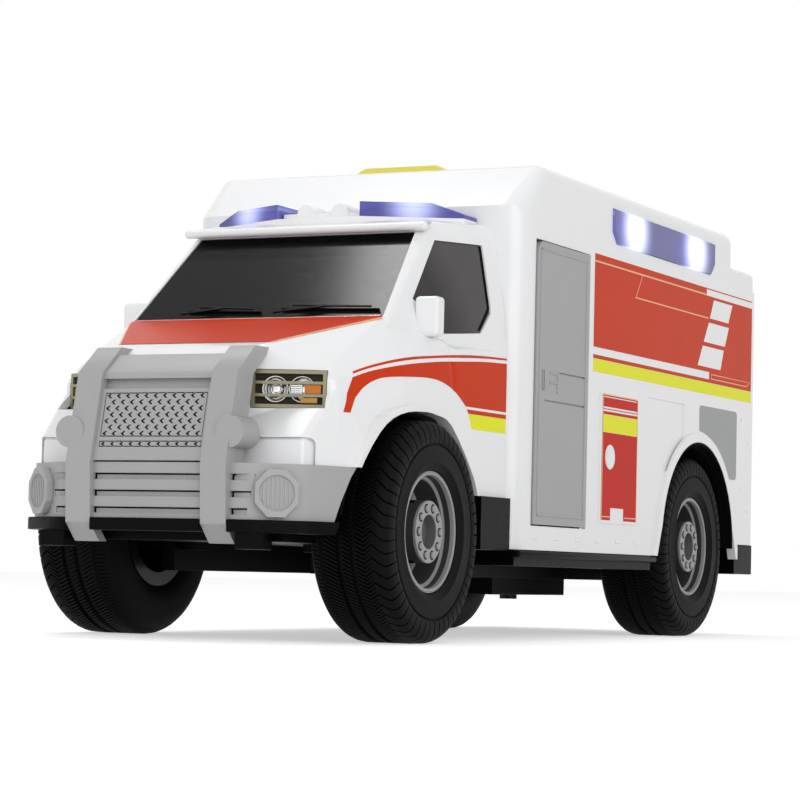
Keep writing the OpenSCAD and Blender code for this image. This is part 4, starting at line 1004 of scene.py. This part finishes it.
def lug_segment():
    """One pitch of the tyre, about the X axis: a shoulder lug and three small tread blocks."""
    s = sizes()
    pitch = 2 * math.pi / s.lugs
    profile = tyre_profile()
    inner, middle, outer = TREAD_X

    def build(bm):
        rows = []
        for share, tread, lug in LUG_STEPS:
            row = []
            for x, r, depth in profile:
                side = min(1.0, max(0.0, (x - outer) / SHOULDER))
                drop = s.lug_depth / MM * depth * (lug if side > 0 else tread)
                on_tread = inner < x < outer
                lean = TREAD_LEAN * (x - middle) if on_tread else LUG_LEAN * min(1, side * 1.2)
                turn = pitch * (share + lean)
                out = r - drop * (1 - 0.75 * side)
                place = (x - drop * side * 0.8, out * math.cos(turn), out * math.sin(turn))
                row.append(bm.verts.new(place))
            rows.append(row)
        for a, b in zip(rows, rows[1:]):
            for k in range(len(profile) - 1):
                bm.faces.new([a[k], a[k + 1], b[k + 1], b[k]])

    return mesh_from("lug_segment", build)


class AMBULANCE_OT_tyres(bpy.types.Operator):
    """Builds the lugged tyres over the plain ones"""

    bl_idname = "ambulance.tyres"
    bl_label = "Tyres"

    def execute(self, context):
        count = sizes().lugs
        for axle, y in AXLES.items():
            for side in SIDES:
                node = f"{axle}_{side}_tyre"
                mesh = repeated(
                    node + "_lugged",
                    lug_segment(),
                    finish("tyre_rubber"),
                    columns=count,
                    turn=2 * math.pi / count,
                    merge=0.00002,
                )
                mesh.transform(Matrix.Translation((0, y * MM, AXLE_Z * MM)))
                if side == "right":
                    mesh.transform(Matrix.Diagonal((-1, 1, 1, 1)))
                close_and_turn_out(mesh)
                piece = make_piece(
                    node + "_lugged", mesh, axle + "_wheels", finish("tyre_rubber"), 40
                )
                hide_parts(node)
        return {"FINISHED"}


def close_and_turn_out(mesh):
    """Merges doubles, closes open rims and turns the faces outward."""
    bm = bmesh.new()
    bm.from_mesh(mesh)
    bmesh.ops.remove_doubles(bm, verts=bm.verts, dist=JOIN_DISTANCE)
    rims = [e for e in bm.edges if e.is_boundary]
    if rims:
        bmesh.ops.bridge_loops(bm, edges=rims)
    bmesh.ops.recalc_face_normals(bm, faces=bm.faces)
    bm.to_mesh(mesh)
    bm.free()


# Half sections of a wheel, as (x, radius) in millimetres
RIM_SECTION = [
    (28.2, 1.8), (28.2, 6.0), (38.1, 6.0), (38.1, 11.9), (29.8, 11.9), (29.8, 15.45), (49.3, 15.45),
    (49.55, 15.3), (49.6, 15.1), (49.5, 15.0), (49.6, 14.9), (49.6, 14.5), (49.45, 14.35),
    (48.5, 14.25), (46.9, 14.15), (46.8, 14.0), (46.8, 13.45), (46.6, 13.3), (41.0, 12.6),
    (40.6, 12.2), (40.6, 1.8), (28.2, 1.8),
]
# Dark bands on the rim's stepped walls, painted shade
RIM_SHADE_BANDS = [
    [(47.0, 14.2), (48.45, 14.3), (48.45, 14.2), (47.0, 14.1), (47.0, 14.2)],
    [(41.1, 12.66), (46.5, 13.33), (46.5, 13.23), (41.1, 12.56), (41.1, 12.66)],
]
DRUM_SECTION = [
    (40.5, 9.3), (40.9, 8.6), (41.8, 8.1), (48.7, 7.85), (48.7, 4.8), (40.5, 4.8), (40.5, 9.3),
]
# A darker grey cup lining the hub's recess, painted shade
CUP_SHADE_SECTION = [(46.45, 0.0), (46.45, 4.15), (49.05, 4.3), (49.05, 4.4), (46.2, 4.4), (46.2, 0.0)]
HUB_SECTION = [
    (46.4, 0.0), (46.4, 4.2), (49.15, 4.35), (49.3, 4.5), (49.3, 7.7), (49.15, 7.9), (48.5, 7.9),
    (48.5, 4.7), (46.0, 4.7), (46.0, 0.0),
]
# Dark rings round the nuts, painted shadow
NUT_SHADOW_SECTION = [(49.2, 0.75), (49.36, 0.75), (49.36, 1.18), (49.2, 1.25), (49.2, 0.75)]
NUT_SECTION = [(49.2, 0.9), (49.65, 0.85), (49.85, 0.6), (49.85, 0.0)]
NUT_PLACE = Matrix.Translation((0, 6.15, 0))
NUTS = 10
NUT_SIDES = 16
WHEEL_SIDES = 72
# Linings of the wheel arches
REAR_ARCH = 32.2
LIP_SHARE = 1.0195
LINER_FOOT = 25.0


class AMBULANCE_OT_wheel_detail(bpy.types.Operator):
    """Builds the stepped rims, hubs and nuts, and the dark liners of the wheel arches"""

    bl_idname = "ambulance.wheel_detail"
    bl_label = "Wheel detail"

    def execute(self, context):
        slot = blocks([((44.4, 7.6, -0.9), (46.2, 8.1, 0.9))], 0.2)
        nut = turned([NUT_SECTION], NUT_SIDES, [NUT_PLACE])
        seat = turned([NUT_SHADOW_SECTION], NUT_SIDES, [NUT_PLACE])
        for axle, y in AXLES.items():
            for name, build, material, slot_name, count in (
                ("rim_shell", turned([RIM_SECTION], WHEEL_SIDES), "rim_plastic", "rim_grey", 1),
                ("rim_bands", turned(RIM_SHADE_BANDS, WHEEL_SIDES), "rim_shade", "chassis_black", 1),
                ("hub_drum", turned([DRUM_SECTION], WHEEL_SIDES), "rim_shade", "chassis_black", 1),
                ("hub_cup", turned([CUP_SHADE_SECTION], WHEEL_SIDES), "rim_recess", "rim_grey", 1),
                ("hub_plate", turned([HUB_SECTION], WHEEL_SIDES), "rim_plastic", "rim_grey", 1),
                ("wheel_nuts", nut, "rim_plastic", "rim_grey", NUTS),
                # The nut rings are painted shadow round the nuts
                ("nut_seats", seat, "liner_black", "chassis_black", NUTS),
                ("drum_slots", slot, "liner_black", "chassis_black", NUTS),
            ):
                mesh = mesh_from(name, build)
                if count > 1:
                    round_turn = 2 * math.pi / count
                    mesh = repeated(name, mesh, finish(material), columns=count, turn=round_turn)
                mesh.transform(Matrix.Translation((0, y * MM, AXLE_Z * MM)))
                pair = make_pair(f"{axle}_{{}}_{name}", mesh, axle + "_wheels", material)
                if name == "rim_shell":
                    for side, piece in pair.items():
                        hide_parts(f"{axle}_{side}_rim")
        self.liners()
        return {"FINISHED"}

    def liners(self):
        """Black linings inside the wheel arches."""
        front_y, rear_y = AXLES["front"], AXLES["rear"]
        front = smooth_line([(front_y + a, AXLE_Z + b) for a, b in ARCH_CORNERS], 4)
        rear = [(y, AXLE_Z + z) for y, z in circle(rear_y, 0, REAR_ARCH, 60)]
        rear = [p for p in rear if p[1] > LINER_FOOT]
        rear.sort(key=lambda p: math.atan2(p[1] - 20, rear_y - p[0]))
        lip = [
            (rear_y + (y - rear_y) * LIP_SHARE, AXLE_Z + (z - AXLE_Z) * LIP_SHARE) for y, z in rear
        ]
        for name, axle_y, line, low, high, back in (
            ("front_arch_liner_{}", front_y, front, 25.2, 43.0, True),
            ("rear_arch_liner_{}", rear_y, rear, 27.6, 49.8, True),
            ("rear_arch_lip_{}", rear_y, lip, 49.7, 52.4, False),
        ):
            mesh = mesh_from("liner", liner_builder(axle_y, line, low, high, back))
            make_pair(name, mesh, "base", "liner_black")


# Front wheel arch about the front axle, drawn in a little from the cab's own edge
ARCH_CORNERS = [
    (-36.6, 3.2), (-33, 11.7), (-23.0, 23.4), (-14, 28.4), (-3, 29.8), (6, 29.4), (13.8, 27.2),
    (25.2, 16.8), (30.2, 8.9), (30.9, 4.0),
]


def liner_builder(axle_y, line, low, high, back, thickness=0.6):
    """Fills a bmesh with a curved sheet round an axle, with a back wall where one is wanted."""

    def build(bm):
        inner = []
        for y, z in line:
            away = math.hypot(y - axle_y, z - AXLE_Z)
            share = 1 - thickness / away
            inner.append((axle_y + (y - axle_y) * share, AXLE_Z + (z - AXLE_Z) * share))
        add_plate(bm, [line + inner[::-1]], low, high, lambda a, b, d: Vector((d, a, b)))
        if back:
            add_plate(bm, [line], low - thickness, low, lambda a, b, d: Vector((d, a, b)))

    return build


def make_pair(name, mesh, body, material):
    """A left piece from a mesh and its mirror image on the right; a body name may hold the side."""
    other = mirrored(mesh, mesh.name + "_right")
    return {
        side: make_piece(name.format(side), shape, body.format(side), finish(material))
        for side, shape in (("left", mesh), ("right", other))
    }


def slot_shade_strips(z):
    """Outlines, as (x, z), of the dark strips of painted shade along the tops and post ends of the
    bumper's slots.
    """
    side_end = SLOT_SIDE + SLOT_SHORT + (z - BUMPER_BOTTOM) * SLOT_GROWTH
    low, line, high = z - SLOT_HALF, z + SLOT_LINE, z + SLOT_HALF
    outlines = []
    for start, end in ((-SLOT_MIDDLE, SLOT_MIDDLE), (SLOT_SIDE, side_end), (-SLOT_SIDE, -side_end)):
        margin = math.copysign(SLOT_MARGIN, end - start)
        start, end, inner = start + margin, end - margin, start + 9 * margin
        outlines.append(
            [(start, low), (inner, low), (inner, line), (end, line), (end, high), (start, high)]
        )
    return outlines


class AMBULANCE_OT_foils(bpy.types.Operator):
    """Lays the stripes and panels on the cab and box"""

    bl_idname = "ambulance.foils"
    bl_label = "Stripes and panels"

    def execute(self, context):
        for side in SIDES:
            panel = f"box_{side}_panel"
            start = BAND_FRONT if side == "left" else DOORLESS_FRONT
            band, edge, lines = (
                [[(start if y < BAND_FRONT + 0.1 else y, z) for y, z in loop] for loop in loops]
                for loops in (BOX_RED, BOX_LIME, BOX_LINES)
            )
            window = f"side_window_{side}"
            for name, node, loops, material, slot, step, lift in (
                ("cab_stripe", "cab_shell", CAB_RED, "foil_red", "body_white", CURVED_STEP, 1),
                ("cab_lime", "cab_shell", CAB_LIME, "foil_lime", "body_white", CURVED_STEP, 1),
                # The black strip at the side window's rear edge is painted shadow
                ("side_window_edge", window, [WINDOW_REVEAL_SHADOW], "liner_black", "window_smoke", 1.0, 1),
                ("box_stripe", panel, band, "foil_red", "body_white", 0, 1),
                ("box_lime", panel, edge, "foil_lime", "body_white", 0, 1),
                ("box_lines", panel, lines, "foil_edge", "body_white", 0, LINE_LIFT),
                ("locker_foil", panel, LOCKER_RED, "foil_locker", "body_white", 0, 1),
                ("locker_lime", panel, LOCKER_LIME, "foil_lime", "body_white", 0, 1),
                ("locker_lines", panel, LOCKER_LINES, "foil_edge", "body_white", 0, LINE_LIFT),
                ("grey_panel", panel, [GREY_PANEL], "printed_grey", "trim_grey", 0, 1),
            ):
                foil(f"{name}_{side}", node, side, loops, finish(material), step, lift)
        # Dark strips in the bumper's slots are painted shade
        gaps = [gap for z in SLOT_HEIGHTS for gap in slot_shade_strips(z)]
        edges = HOOD_EDGE + [[(-x, y) for x, y in HOOD_EDGE[0]]]
        hood = ("cab_shell", "above")
        for name, (node, side), loops, material, slot, step, lift in (
            ("hood_foil", hood, [HOOD_RED], "foil_red", "body_white", 0.7, HOOD_LIFT),
            ("bumper_gaps", ("bumper", "front"), gaps, "liner_black", "trim_grey", 0, 1),
            ("hood_foil_edge", hood, edges, "foil_edge", "body_white", 0.5, HOOD_LIFT),
        ):
            foil(name, node, side, loops, finish(material), step, lift)
        return {"FINISHED"}


# Half sections, as (x, radius), and places of the small detail on the box sides
KNOB_SECTION = [
    (51.9, 0.0), (51.9, 3.6), (52.35, 3.6), (52.5, 3.4), (52.5, 3.0), (52.3, 2.6), (52.25, 0.0),
]
STUD_SECTION = [(51.5, 0.0), (51.5, 0.7), (51.85, 0.7), (52.0, 0.45), (52.05, 0.0)]
KNOB_PLACE = Matrix.Translation((0, 20.0, 52.7))
FIRST_CLIP = (0, -32.7, 28.2)
CLIP_PITCH = 15.26
FIRST_STUD = (0, 137.6, 70.8)
STUD_STEP = (0, 7.2, -7.5)
STUD_ROW_STEP = (0, 0, -22.5)


class AMBULANCE_OT_side_detail(bpy.types.Operator):
    """Adds locker knobs, skirt clips and studs to the box sides"""

    bl_idname = "ambulance.side_detail"
    bl_label = "Box side detail"

    def execute(self, context):
        clip = blocks([((51.5, -1.7, -0.5), (51.98, 1.7, 0.5))], 0.2)
        board = blocks([((50.0, -44.0, 22.7), (52.2, 60.5, 24.6))], 0.7)
        knob = turned([KNOB_SECTION], places=[KNOB_PLACE])
        stud = turned([STUD_SECTION], NUT_SIDES)
        white = finish("gloss_white")
        row = repeated(
            "skirt_clips",
            mesh_from("clip", clip),
            white,
            columns=sizes().clips,
            step=(0, CLIP_PITCH * MM, 0),
        )
        row.transform(Matrix.Translation(Vector(FIRST_CLIP) * MM))
        studs = repeated(
            "rear_studs",
            mesh_from("stud", stud),
            white,
            columns=2,
            rows=2,
            step=Vector(STUD_STEP) * MM,
            row_step=Vector(STUD_ROW_STEP) * MM,
        )
        studs.transform(Matrix.Translation(Vector(FIRST_STUD) * MM))
        lip = mesh_from("side_board_lip", board)
        for name, mesh, material, slot in (
            ("locker_knob_{}", mesh_from("locker_knob", knob), "gloss_white", "body_white"),
            ("skirt_clips_{}", row, "gloss_white", "body_white"),
            ("rear_studs_{}", studs, "gloss_white", "body_white"),
            ("side_board_lip_{}", lip, "grained_black", "chassis_black"),
        ):
            make_pair(name, mesh, "base", material)
        return {"FINISHED"}


# Lower and upper corners of the rear doors' windows and grips
REAR_WINDOW = ((6.5, 149.2, 82.9), (37.1, 149.75, 102.9))
REAR_GRIP = ((2.8, 149.6, 65.6), (5.2, 151.4, 76.2))
# Raised strips on the side door's face, as lower and upper (y, z) corners
DOOR_FACE = 52.2
BORDER_STRIPS = [
    ((-33.4, 106.9), (0.3, 107.6)), ((-33.4, 34.0), (0.3, 34.7)), ((-33.4, 34.0), (-32.8, 107.6)),
    ((-0.3, 34.0), (0.3, 107.6)),
]
LATCH_STRIPS = [
    ((-26.0, 73.4), (-20.0, 74.1)), ((-26.0, 70.8), (-20.4, 71.5)), ((-20.6, 68.2), (-19.9, 74.1)),
    ((-30.9, 68.7), (-30.5, 74.2)),
]


class AMBULANCE_OT_doors(bpy.types.Operator):
    """Adds the latch and borders to the side door and windows to the rear doors"""

    bl_idname = "ambulance.doors"
    bl_label = "Door detail"

    def execute(self, context):
        for name, strips, height in (
            ("side_door_border", BORDER_STRIPS, 0.25),
            ("side_door_latch", LATCH_STRIPS, 0.3),
        ):
            corners = [
                ((DOOR_FACE - 0.3, *low), (DOOR_FACE + height, *high)) for low, high in strips
            ]
            mesh = mesh_from(name, blocks(corners, 0.2))
            make_piece(name, mesh, "side_door", finish("door_grey"))
        for name, corners, round_off, material, slot in (
            ("rear_window", REAR_WINDOW, 0.25, "smoked_gloss", "window_smoke"),
            ("rear_grip", REAR_GRIP, 0.7, "satin_grey", "trim_grey"),
        ):
            mesh = mesh_from(name, blocks([corners], round_off))
            make_pair(name + "_{}", mesh, "rear_door_{}", material)
        return {"FINISHED"}


HEADLIGHT = Matrix.Translation((19.6, -135.84, 61.8)) @ Matrix.Rotation(math.radians(21.1), 4, "Z")
FOG_LAMP = Matrix.Translation((32.8, -145.2, 35.9)) @ Matrix.Rotation(math.radians(32), 4, "Z")
QUARTER_TURN = Matrix.Rotation(math.radians(90), 4, "Z")
# Places of the headlight's two bowls along it, and half sections as (depth, radius)
BOWL_X = (6.0, 12.6)
BOWL_SECTION = [
    (3.9, 0.0), (3.7, 1.0), (3.1, 2.1), (2.1, 2.8), (1.45, 3.05), (1.45, 3.2), (2.0, 3.15),
    (3.9, 1.6), (4.0, 0.0),
]
BULB_SECTION = [(3.8, 0.0), (3.8, 1.3), (2.6, 1.3), (2.0, 1.0), (1.7, 0.0)]
BULB_RING = [(1.6, 2.2), (1.45, 2.2), (1.45, 1.9), (1.6, 1.9), (1.6, 2.2)]
BOWL_RADIUS = 3.15
WELL_DEPTHS = (1.6, 2.0)
WELL_EDGE = rectangle(1.15, -3.7, 17.7, 3.7)
# Lower and upper corners of the headlight's blocks
INDICATOR = ((13.3, 0.8, -1.15), (17.3, 1.55, 1.15))
AMBER = ((12.2, 0.9, -3.4), (16.4, 1.55, -2.0))
REFLECTOR_RIB = ((9.75, 0.8, -1.15), (12.7, 1.4, -0.73))
RIB_PITCH = 0.46
REFLECTOR_RIBS = 5
FOG_RADIUS = 3.9
FOG_PITCH = 1.05
FOG_RIB = 0.27


class AMBULANCE_OT_lamps(bpy.types.Operator):
    """Builds the bowls, bulbs and indicators of the headlights and the ribs of the fog lamps"""

    bl_idname = "ambulance.lamps"
    bl_label = "Front lamps"

    def execute(self, context):
        bowls = [HEADLIGHT @ Matrix.Translation((x, 0, 0)) @ QUARTER_TURN for x in BOWL_X]
        bulb_ring = turned([BULB_RING], places=bowls[:1])

        def backing(bm):
            loops = [WELL_EDGE] + [circle(x, 0, BOWL_RADIUS) for x in BOWL_X]
            add_plate(bm, loops, *WELL_DEPTHS, lambda a, b, d: HEADLIGHT @ Vector((a, d, b)))

        fog_ribs = []
        for i in range(-3, 4):
            x = FOG_PITCH * i
            half = math.sqrt(FOG_RADIUS**2 - x**2)
            fog_ribs.append(((x - FOG_RIB, -1.64, -half), (x + FOG_RIB, -1.3, half)))
        for name, build, material, slot in (
            ("headlight_backing", backing, "lamp_well", "lamp_gold"),
            ("headlight_bulb_ring", bulb_ring, "liner_black", "lamp_gold"),
            ("headlight_bowls", turned([BOWL_SECTION], places=bowls), "bright_metal", "lamp_gold"),
            ("headlight_bulbs", turned([BULB_SECTION], places=bowls), "bright_metal", "lamp_gold"),
            ("indicator", blocks([INDICATOR], 0.2, HEADLIGHT), "clear_orange", "lamp_gold"),
            ("amber_reflector", blocks([AMBER], 0.2, HEADLIGHT), "clear_amber", "lamp_gold"),
            ("fog_lamp_ribs", blocks(fog_ribs, 0.12, FOG_LAMP), "satin_grey", "trim_grey"),
        ):
            make_pair(name + "_{}", mesh_from(name, build), "base", material)
        ribbed = repeated(
            "headlight_reflector",
            mesh_from("rib", blocks([REFLECTOR_RIB], 0.15)),
            finish("bright_metal"),
            rows=REFLECTOR_RIBS,
            row_step=(0, 0, RIB_PITCH * MM),
        )
        turn = HEADLIGHT.to_3x3().to_4x4()
        ribbed.transform(Matrix.Translation(HEADLIGHT.translation * MM) @ turn)
        make_pair("headlight_reflector_{}", ribbed, "base", "bright_metal")
        return {"FINISHED"}


def add_bar(bm, start, end, outward, width, height):
    """A bar between two points, with rounded edges, standing on a surface."""
    along = (end - start).normalized()
    across = outward.cross(along).normalized()
    place = Matrix((along, across, along.cross(across))).transposed().to_4x4()
    place.translation = start
    low, high = (0, -width / 2, 0), ((end - start).length, width / 2, height)
    add_block(bm, low, high, min(width, height) * 0.3, place)


# Both ends of each wiper blade across the windscreen, and how far along it the arm reaches
WIPER_REACH = ((-21.5, 0.5), (6.2, 35.0))
ARM_SHARE = 0.45


class AMBULANCE_OT_wipers(bpy.types.Operator):
    """Builds the wipers with an arm and a blade each along the windscreen's lower edge"""

    bl_idname = "ambulance.wipers"
    bl_label = "Wipers"

    def execute(self, context):
        surface = node_surface("windscreen")

        def on_glass(x, z, lift):
            hit, normal, _, _ = surface.ray_cast(Vector((x, -200, z)) * MM, Vector((0, 1, 0)))
            if hit is None:
                raise RuntimeError("a wiper lies beside the windscreen")
            return (hit + normal * lift * MM) / MM, normal

        def build(bm):
            for start, end in WIPER_REACH:
                middle = start + (end - start) * ARM_SHARE
                for x0, z0, x1, z1, lift, width, height in (
                    (start, 84.9, end, 84.2, 0.1, 0.5, 0.75),
                    (start + 3, 85.6, end - 2.5, 84.8, 0.75, 0.55, 0.35),
                    (start - 1.5, 83.5, middle, 85.0, 0.95, 0.8, 0.4),
                ):
                    a, outward = on_glass(x0, z0, lift)
                    b, _ = on_glass(x1, z1, lift)
                    add_bar(bm, a, b, outward, width, height)

        mesh = mesh_from("wiper_arms", build)
        piece = make_piece("wiper_arms", mesh, "base", finish("grained_black"))
        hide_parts("wipers")
        return {"FINISHED"}


# The grille's half width, the play round its backing, the gap round its plates where the black
# backing shows as a painted shadow line, and a plate's least rim
GRILLE_HALF = 14.4
GRILLE_PLAY = 0.05
PLATE_SHADOW_GAP = 0.2
PLATE_RIM = 0.4
CHEVRON_ARM = 0.74
CHEVRON_TALL = 0.62
CHEVRON_STROKE = 0.66
ROW_SHIFTS = (0.44, 0.94)


class AMBULANCE_OT_grille(bpy.types.Operator):
    """Lays pierced plates with staggered chevron holes over a dark backing in the grille; the
    backing paints the shade in the holes and round the plates
    """

    bl_idname = "ambulance.grille"
    bl_label = "Grille mesh"

    def execute(self, context):
        for name, low, high, rows in (
            ("grille_mesh", 49.2, 60.1, sizes().mesh_rows),
            ("grille_row", 46.7, 48.2, 1),
        ):
            border = rectangle(-GRILLE_HALF, low + GRILLE_PLAY, GRILLE_HALF, high - GRILLE_PLAY)
            plate = ring_loops(border, PLATE_SHADOW_GAP)[1]
            holes = self.holes(low, high, rows)
            for piece, loops, near, far, material, slot in (
                (name, [plate] + holes, 1.3, 1.72, "satin_grey", "trim_grey"),
                # The black backing paints the shade in the chevron holes and the gaps round the
                # plates
                (name + "_backing", [border], 1.78, 1.88, "liner_black", "chassis_black"),
            ):
                mesh = mesh_from(piece, lambda bm: add_plate(bm, loops, near, far, grille_point))
                make_piece(piece, mesh, "base", finish(material))
        return {"FINISHED"}

    def holes(self, low, high, rows):
        """Chevron outlines, every other row set over by half a step."""
        pitch = 2 * GRILLE_HALF / sizes().mesh_columns
        rise = (high - low) / rows
        tall = min(CHEVRON_TALL, rise * 0.4)
        outlines = []
        for row in range(rows):
            z = high - rise * (row + 0.5)
            for column in range(sizes().mesh_columns):
                x = -GRILLE_HALF + pitch * (column + ROW_SHIFTS[row % 2])
                tip, end = x - CHEVRON_ARM, x + CHEVRON_ARM
                if end > GRILLE_HALF - PLATE_RIM:
                    continue
                back = end - CHEVRON_STROKE
                outlines.append(
                    [(tip, z), (back, z + tall), (end, z + tall), (tip + CHEVRON_STROKE * 1.2, z),
                     (end, z - tall), (back, z - tall)]
                )
        return outlines


# The bull bar's front line: its foremost place, where it starts to lean, and by how much
FRONT_Y = -152
BUMPER_TOP = 43
GRILLE_LEAN = 4.6 / 22.2


def grille_point(a, b, depth):
    """A point on the grille's leaning plane, at a depth behind the bull bar's front."""
    return Vector((a, FRONT_Y + (b - BUMPER_TOP) * GRILLE_LEAN + depth, b))


# The photograph's viewpoint and lens, and where the lights aim, in metres
CAMERA_PLACE = Vector((0.34132, -0.71013, 0.01776))
CAMERA_FORWARD = Vector((-0.4386, 0.8964, 0.0638))
CAMERA_RIGHT = Vector((0.8987, 0.4379, 0.0244))
FOCAL_PIXELS = 2702
FRAME_PIXELS = 800
SENSOR = 36.0
LIGHT_AIM = Vector((0, 0, 0.06))
SHEEN_SPOT = Vector((0.027, -0.1, 0.097))
SHEEN_REACH = 0.9
SHEEN_SHIFT = Vector((0.085, 0, 0))
FLOOR_GREY = (0.9, 0.9, 0.9)
FLOOR_LIFT = 0.5


def sheen_place():
    """Where a light must stand for the camera to see it in the windscreen's left part."""
    hit, normal, _, _ = node_surface("windscreen").find_nearest(SHEEN_SPOT)
    towards = (hit - CAMERA_PLACE).normalized()
    return tuple(hit + towards.reflect(normal) * SHEEN_REACH + SHEEN_SHIFT)


class AMBULANCE_OT_stage(bpy.types.Operator):
    """Makes the floor, lights and camera"""

    bl_idname = "ambulance.stage"
    bl_label = "Stage"

    def execute(self, context):
        scene = context.scene
        scene.view_settings.view_transform = "Standard"
        self.world(scene)
        self.floor(scene)
        stage = scene.ambulance_stage
        for name, place, size, power, mirrored_in_gloss in (
            ("key_light", (-0.35, -1.3, 0.6), 1.2, stage.key_power, False),
            ("fill_light", (1.15, -0.85, 0.5), 1.2, stage.fill_power, True),
            ("top_light", (0.1, 0.1, 1.4), 1.5, stage.top_power, False),
            ("glass_sheen", sheen_place(), 0.16, stage.sheen_power, True),
        ):
            lamp = bpy.data.lights.new(name, "AREA")
            lamp.size = size
            lamp.energy = power
            holder = put(name, lamp)
            holder.location = place
            holder.visible_glossy = mirrored_in_gloss
            aim = LIGHT_AIM - Vector(place)
            holder.rotation_euler = aim.to_track_quat("-Z", "Y").to_euler()
        self.camera(scene)
        return {"FINISHED"}

    def world(self, scene):
        """Even light all round, white where it is seen."""
        world = bpy.data.worlds.new("studio")
        scene.world = world
        world.use_nodes = True
        tree = world.node_tree
        shown = seen_rays(tree)
        sky = add(
            tree,
            "ShaderNodeMapRange",
            {"Value": shown, "To Min": scene.ambulance_stage.sky, "To Max": 1.0},
        )
        tree.links.new(sky.outputs["Result"], tree.nodes["Background"].inputs["Strength"])
        tree.nodes["Background"].inputs["Color"].default_value = (1, 1, 1, 1)

    def floor(self, scene):
        """A pale floor that keeps the shadow."""
        half = scene.ambulance_stage.floor_size / 2
        mesh = bpy.data.meshes.new("floor")
        corners = [(-half, -half, 0), (half, -half, 0), (half, half, 0), (-half, half, 0)]
        mesh.from_pydata(corners, [], [(0, 1, 2, 3)])
        material = bpy.data.materials.new("pale_floor")
        material.use_nodes = True
        tree = material.node_tree
        bsdf = shader_of(material)
        for key, value in (
            ("Base Color", rgba(FLOOR_GREY)),
            ("Roughness", 0.9),
            ("Specular IOR Level", 0.0),
            ("Emission Color", (1, 1, 1, 1)),
        ):
            bsdf.inputs[key].default_value = value
        lift = math_node(tree, "MULTIPLY", seen_rays(tree), FLOOR_LIFT)
        tree.links.new(lift, bsdf.inputs["Emission Strength"])
        mesh.materials.append(material)
        floor = put("floor", mesh)

    def camera(self, scene):
        """The photograph's viewpoint: near the floor, ahead and to the left of the vehicle."""
        forward = CAMERA_FORWARD.normalized()
        right = (CAMERA_RIGHT - forward * CAMERA_RIGHT.dot(forward)).normalized()
        up = right.cross(forward)
        data = bpy.data.cameras.new("photo_camera")
        data.sensor_width = SENSOR
        data.lens = FOCAL_PIXELS / FRAME_PIXELS * SENSOR
        data.clip_start, data.clip_end = 0.01, 50
        aim = Matrix((right, up, -forward)).transposed().to_4x4()
        scene.camera = put("photo_camera", data)
        scene.camera.matrix_world = Matrix.Translation(CAMERA_PLACE) @ aim


def seen_rays(tree):
    """1 for rays that the camera, a reflection or clear plastic sends, else 0."""
    path = add(tree, "ShaderNodeLightPath").outputs
    both = math_node(tree, "MAXIMUM", path["Is Camera Ray"], path["Is Glossy Ray"])
    return math_node(tree, "MAXIMUM", both, path["Is Transmission Ray"])


STEPS = (
    "finishes", "tyres", "wheel_detail", "foils", "side_detail", "doors", "lamps", "wipers",
    "grille", "stage",
)


class AMBULANCE_PT_panel(bpy.types.Panel):
    """Lists the steps that dress the ambulance"""

    bl_idname = "AMBULANCE_PT_panel"
    bl_label = "Toy ambulance"
    bl_space_type = "VIEW_3D"
    bl_region_type = "UI"
    bl_category = "Ambulance"

    def draw(self, context):
        for step in STEPS:
            self.layout.operator("ambulance." + step)
        for group in ("ambulance_colours", "ambulance_sizes", "ambulance_stage"):
            settings = getattr(context.scene, group)
            for key in settings.__annotations__:
                self.layout.prop(settings, key)


CLASSES = (
    AmbulanceColours,
    AmbulanceSizes,
    AmbulanceStage,
    AMBULANCE_OT_finishes,
    AMBULANCE_OT_tyres,
    AMBULANCE_OT_wheel_detail,
    AMBULANCE_OT_foils,
    AMBULANCE_OT_side_detail,
    AMBULANCE_OT_doors,
    AMBULANCE_OT_lamps,
    AMBULANCE_OT_wipers,
    AMBULANCE_OT_grille,
    AMBULANCE_OT_stage,
    AMBULANCE_PT_panel,
)


def register():
    for cls in CLASSES:
        bpy.utils.register_class(cls)
    bpy.types.Scene.ambulance_colours = PointerProperty(type=AmbulanceColours)
    bpy.types.Scene.ambulance_sizes = PointerProperty(type=AmbulanceSizes)
    bpy.types.Scene.ambulance_stage = PointerProperty(type=AmbulanceStage)


def unregister():
    del bpy.types.Scene.ambulance_stage
    del bpy.types.Scene.ambulance_sizes
    del bpy.types.Scene.ambulance_colours
    for cls in reversed(CLASSES):
        bpy.utils.unregister_class(cls)


def main():
    register()
    for step in STEPS:
        getattr(bpy.ops.ambulance, step)()


if __name__ == "__main__":
    main()
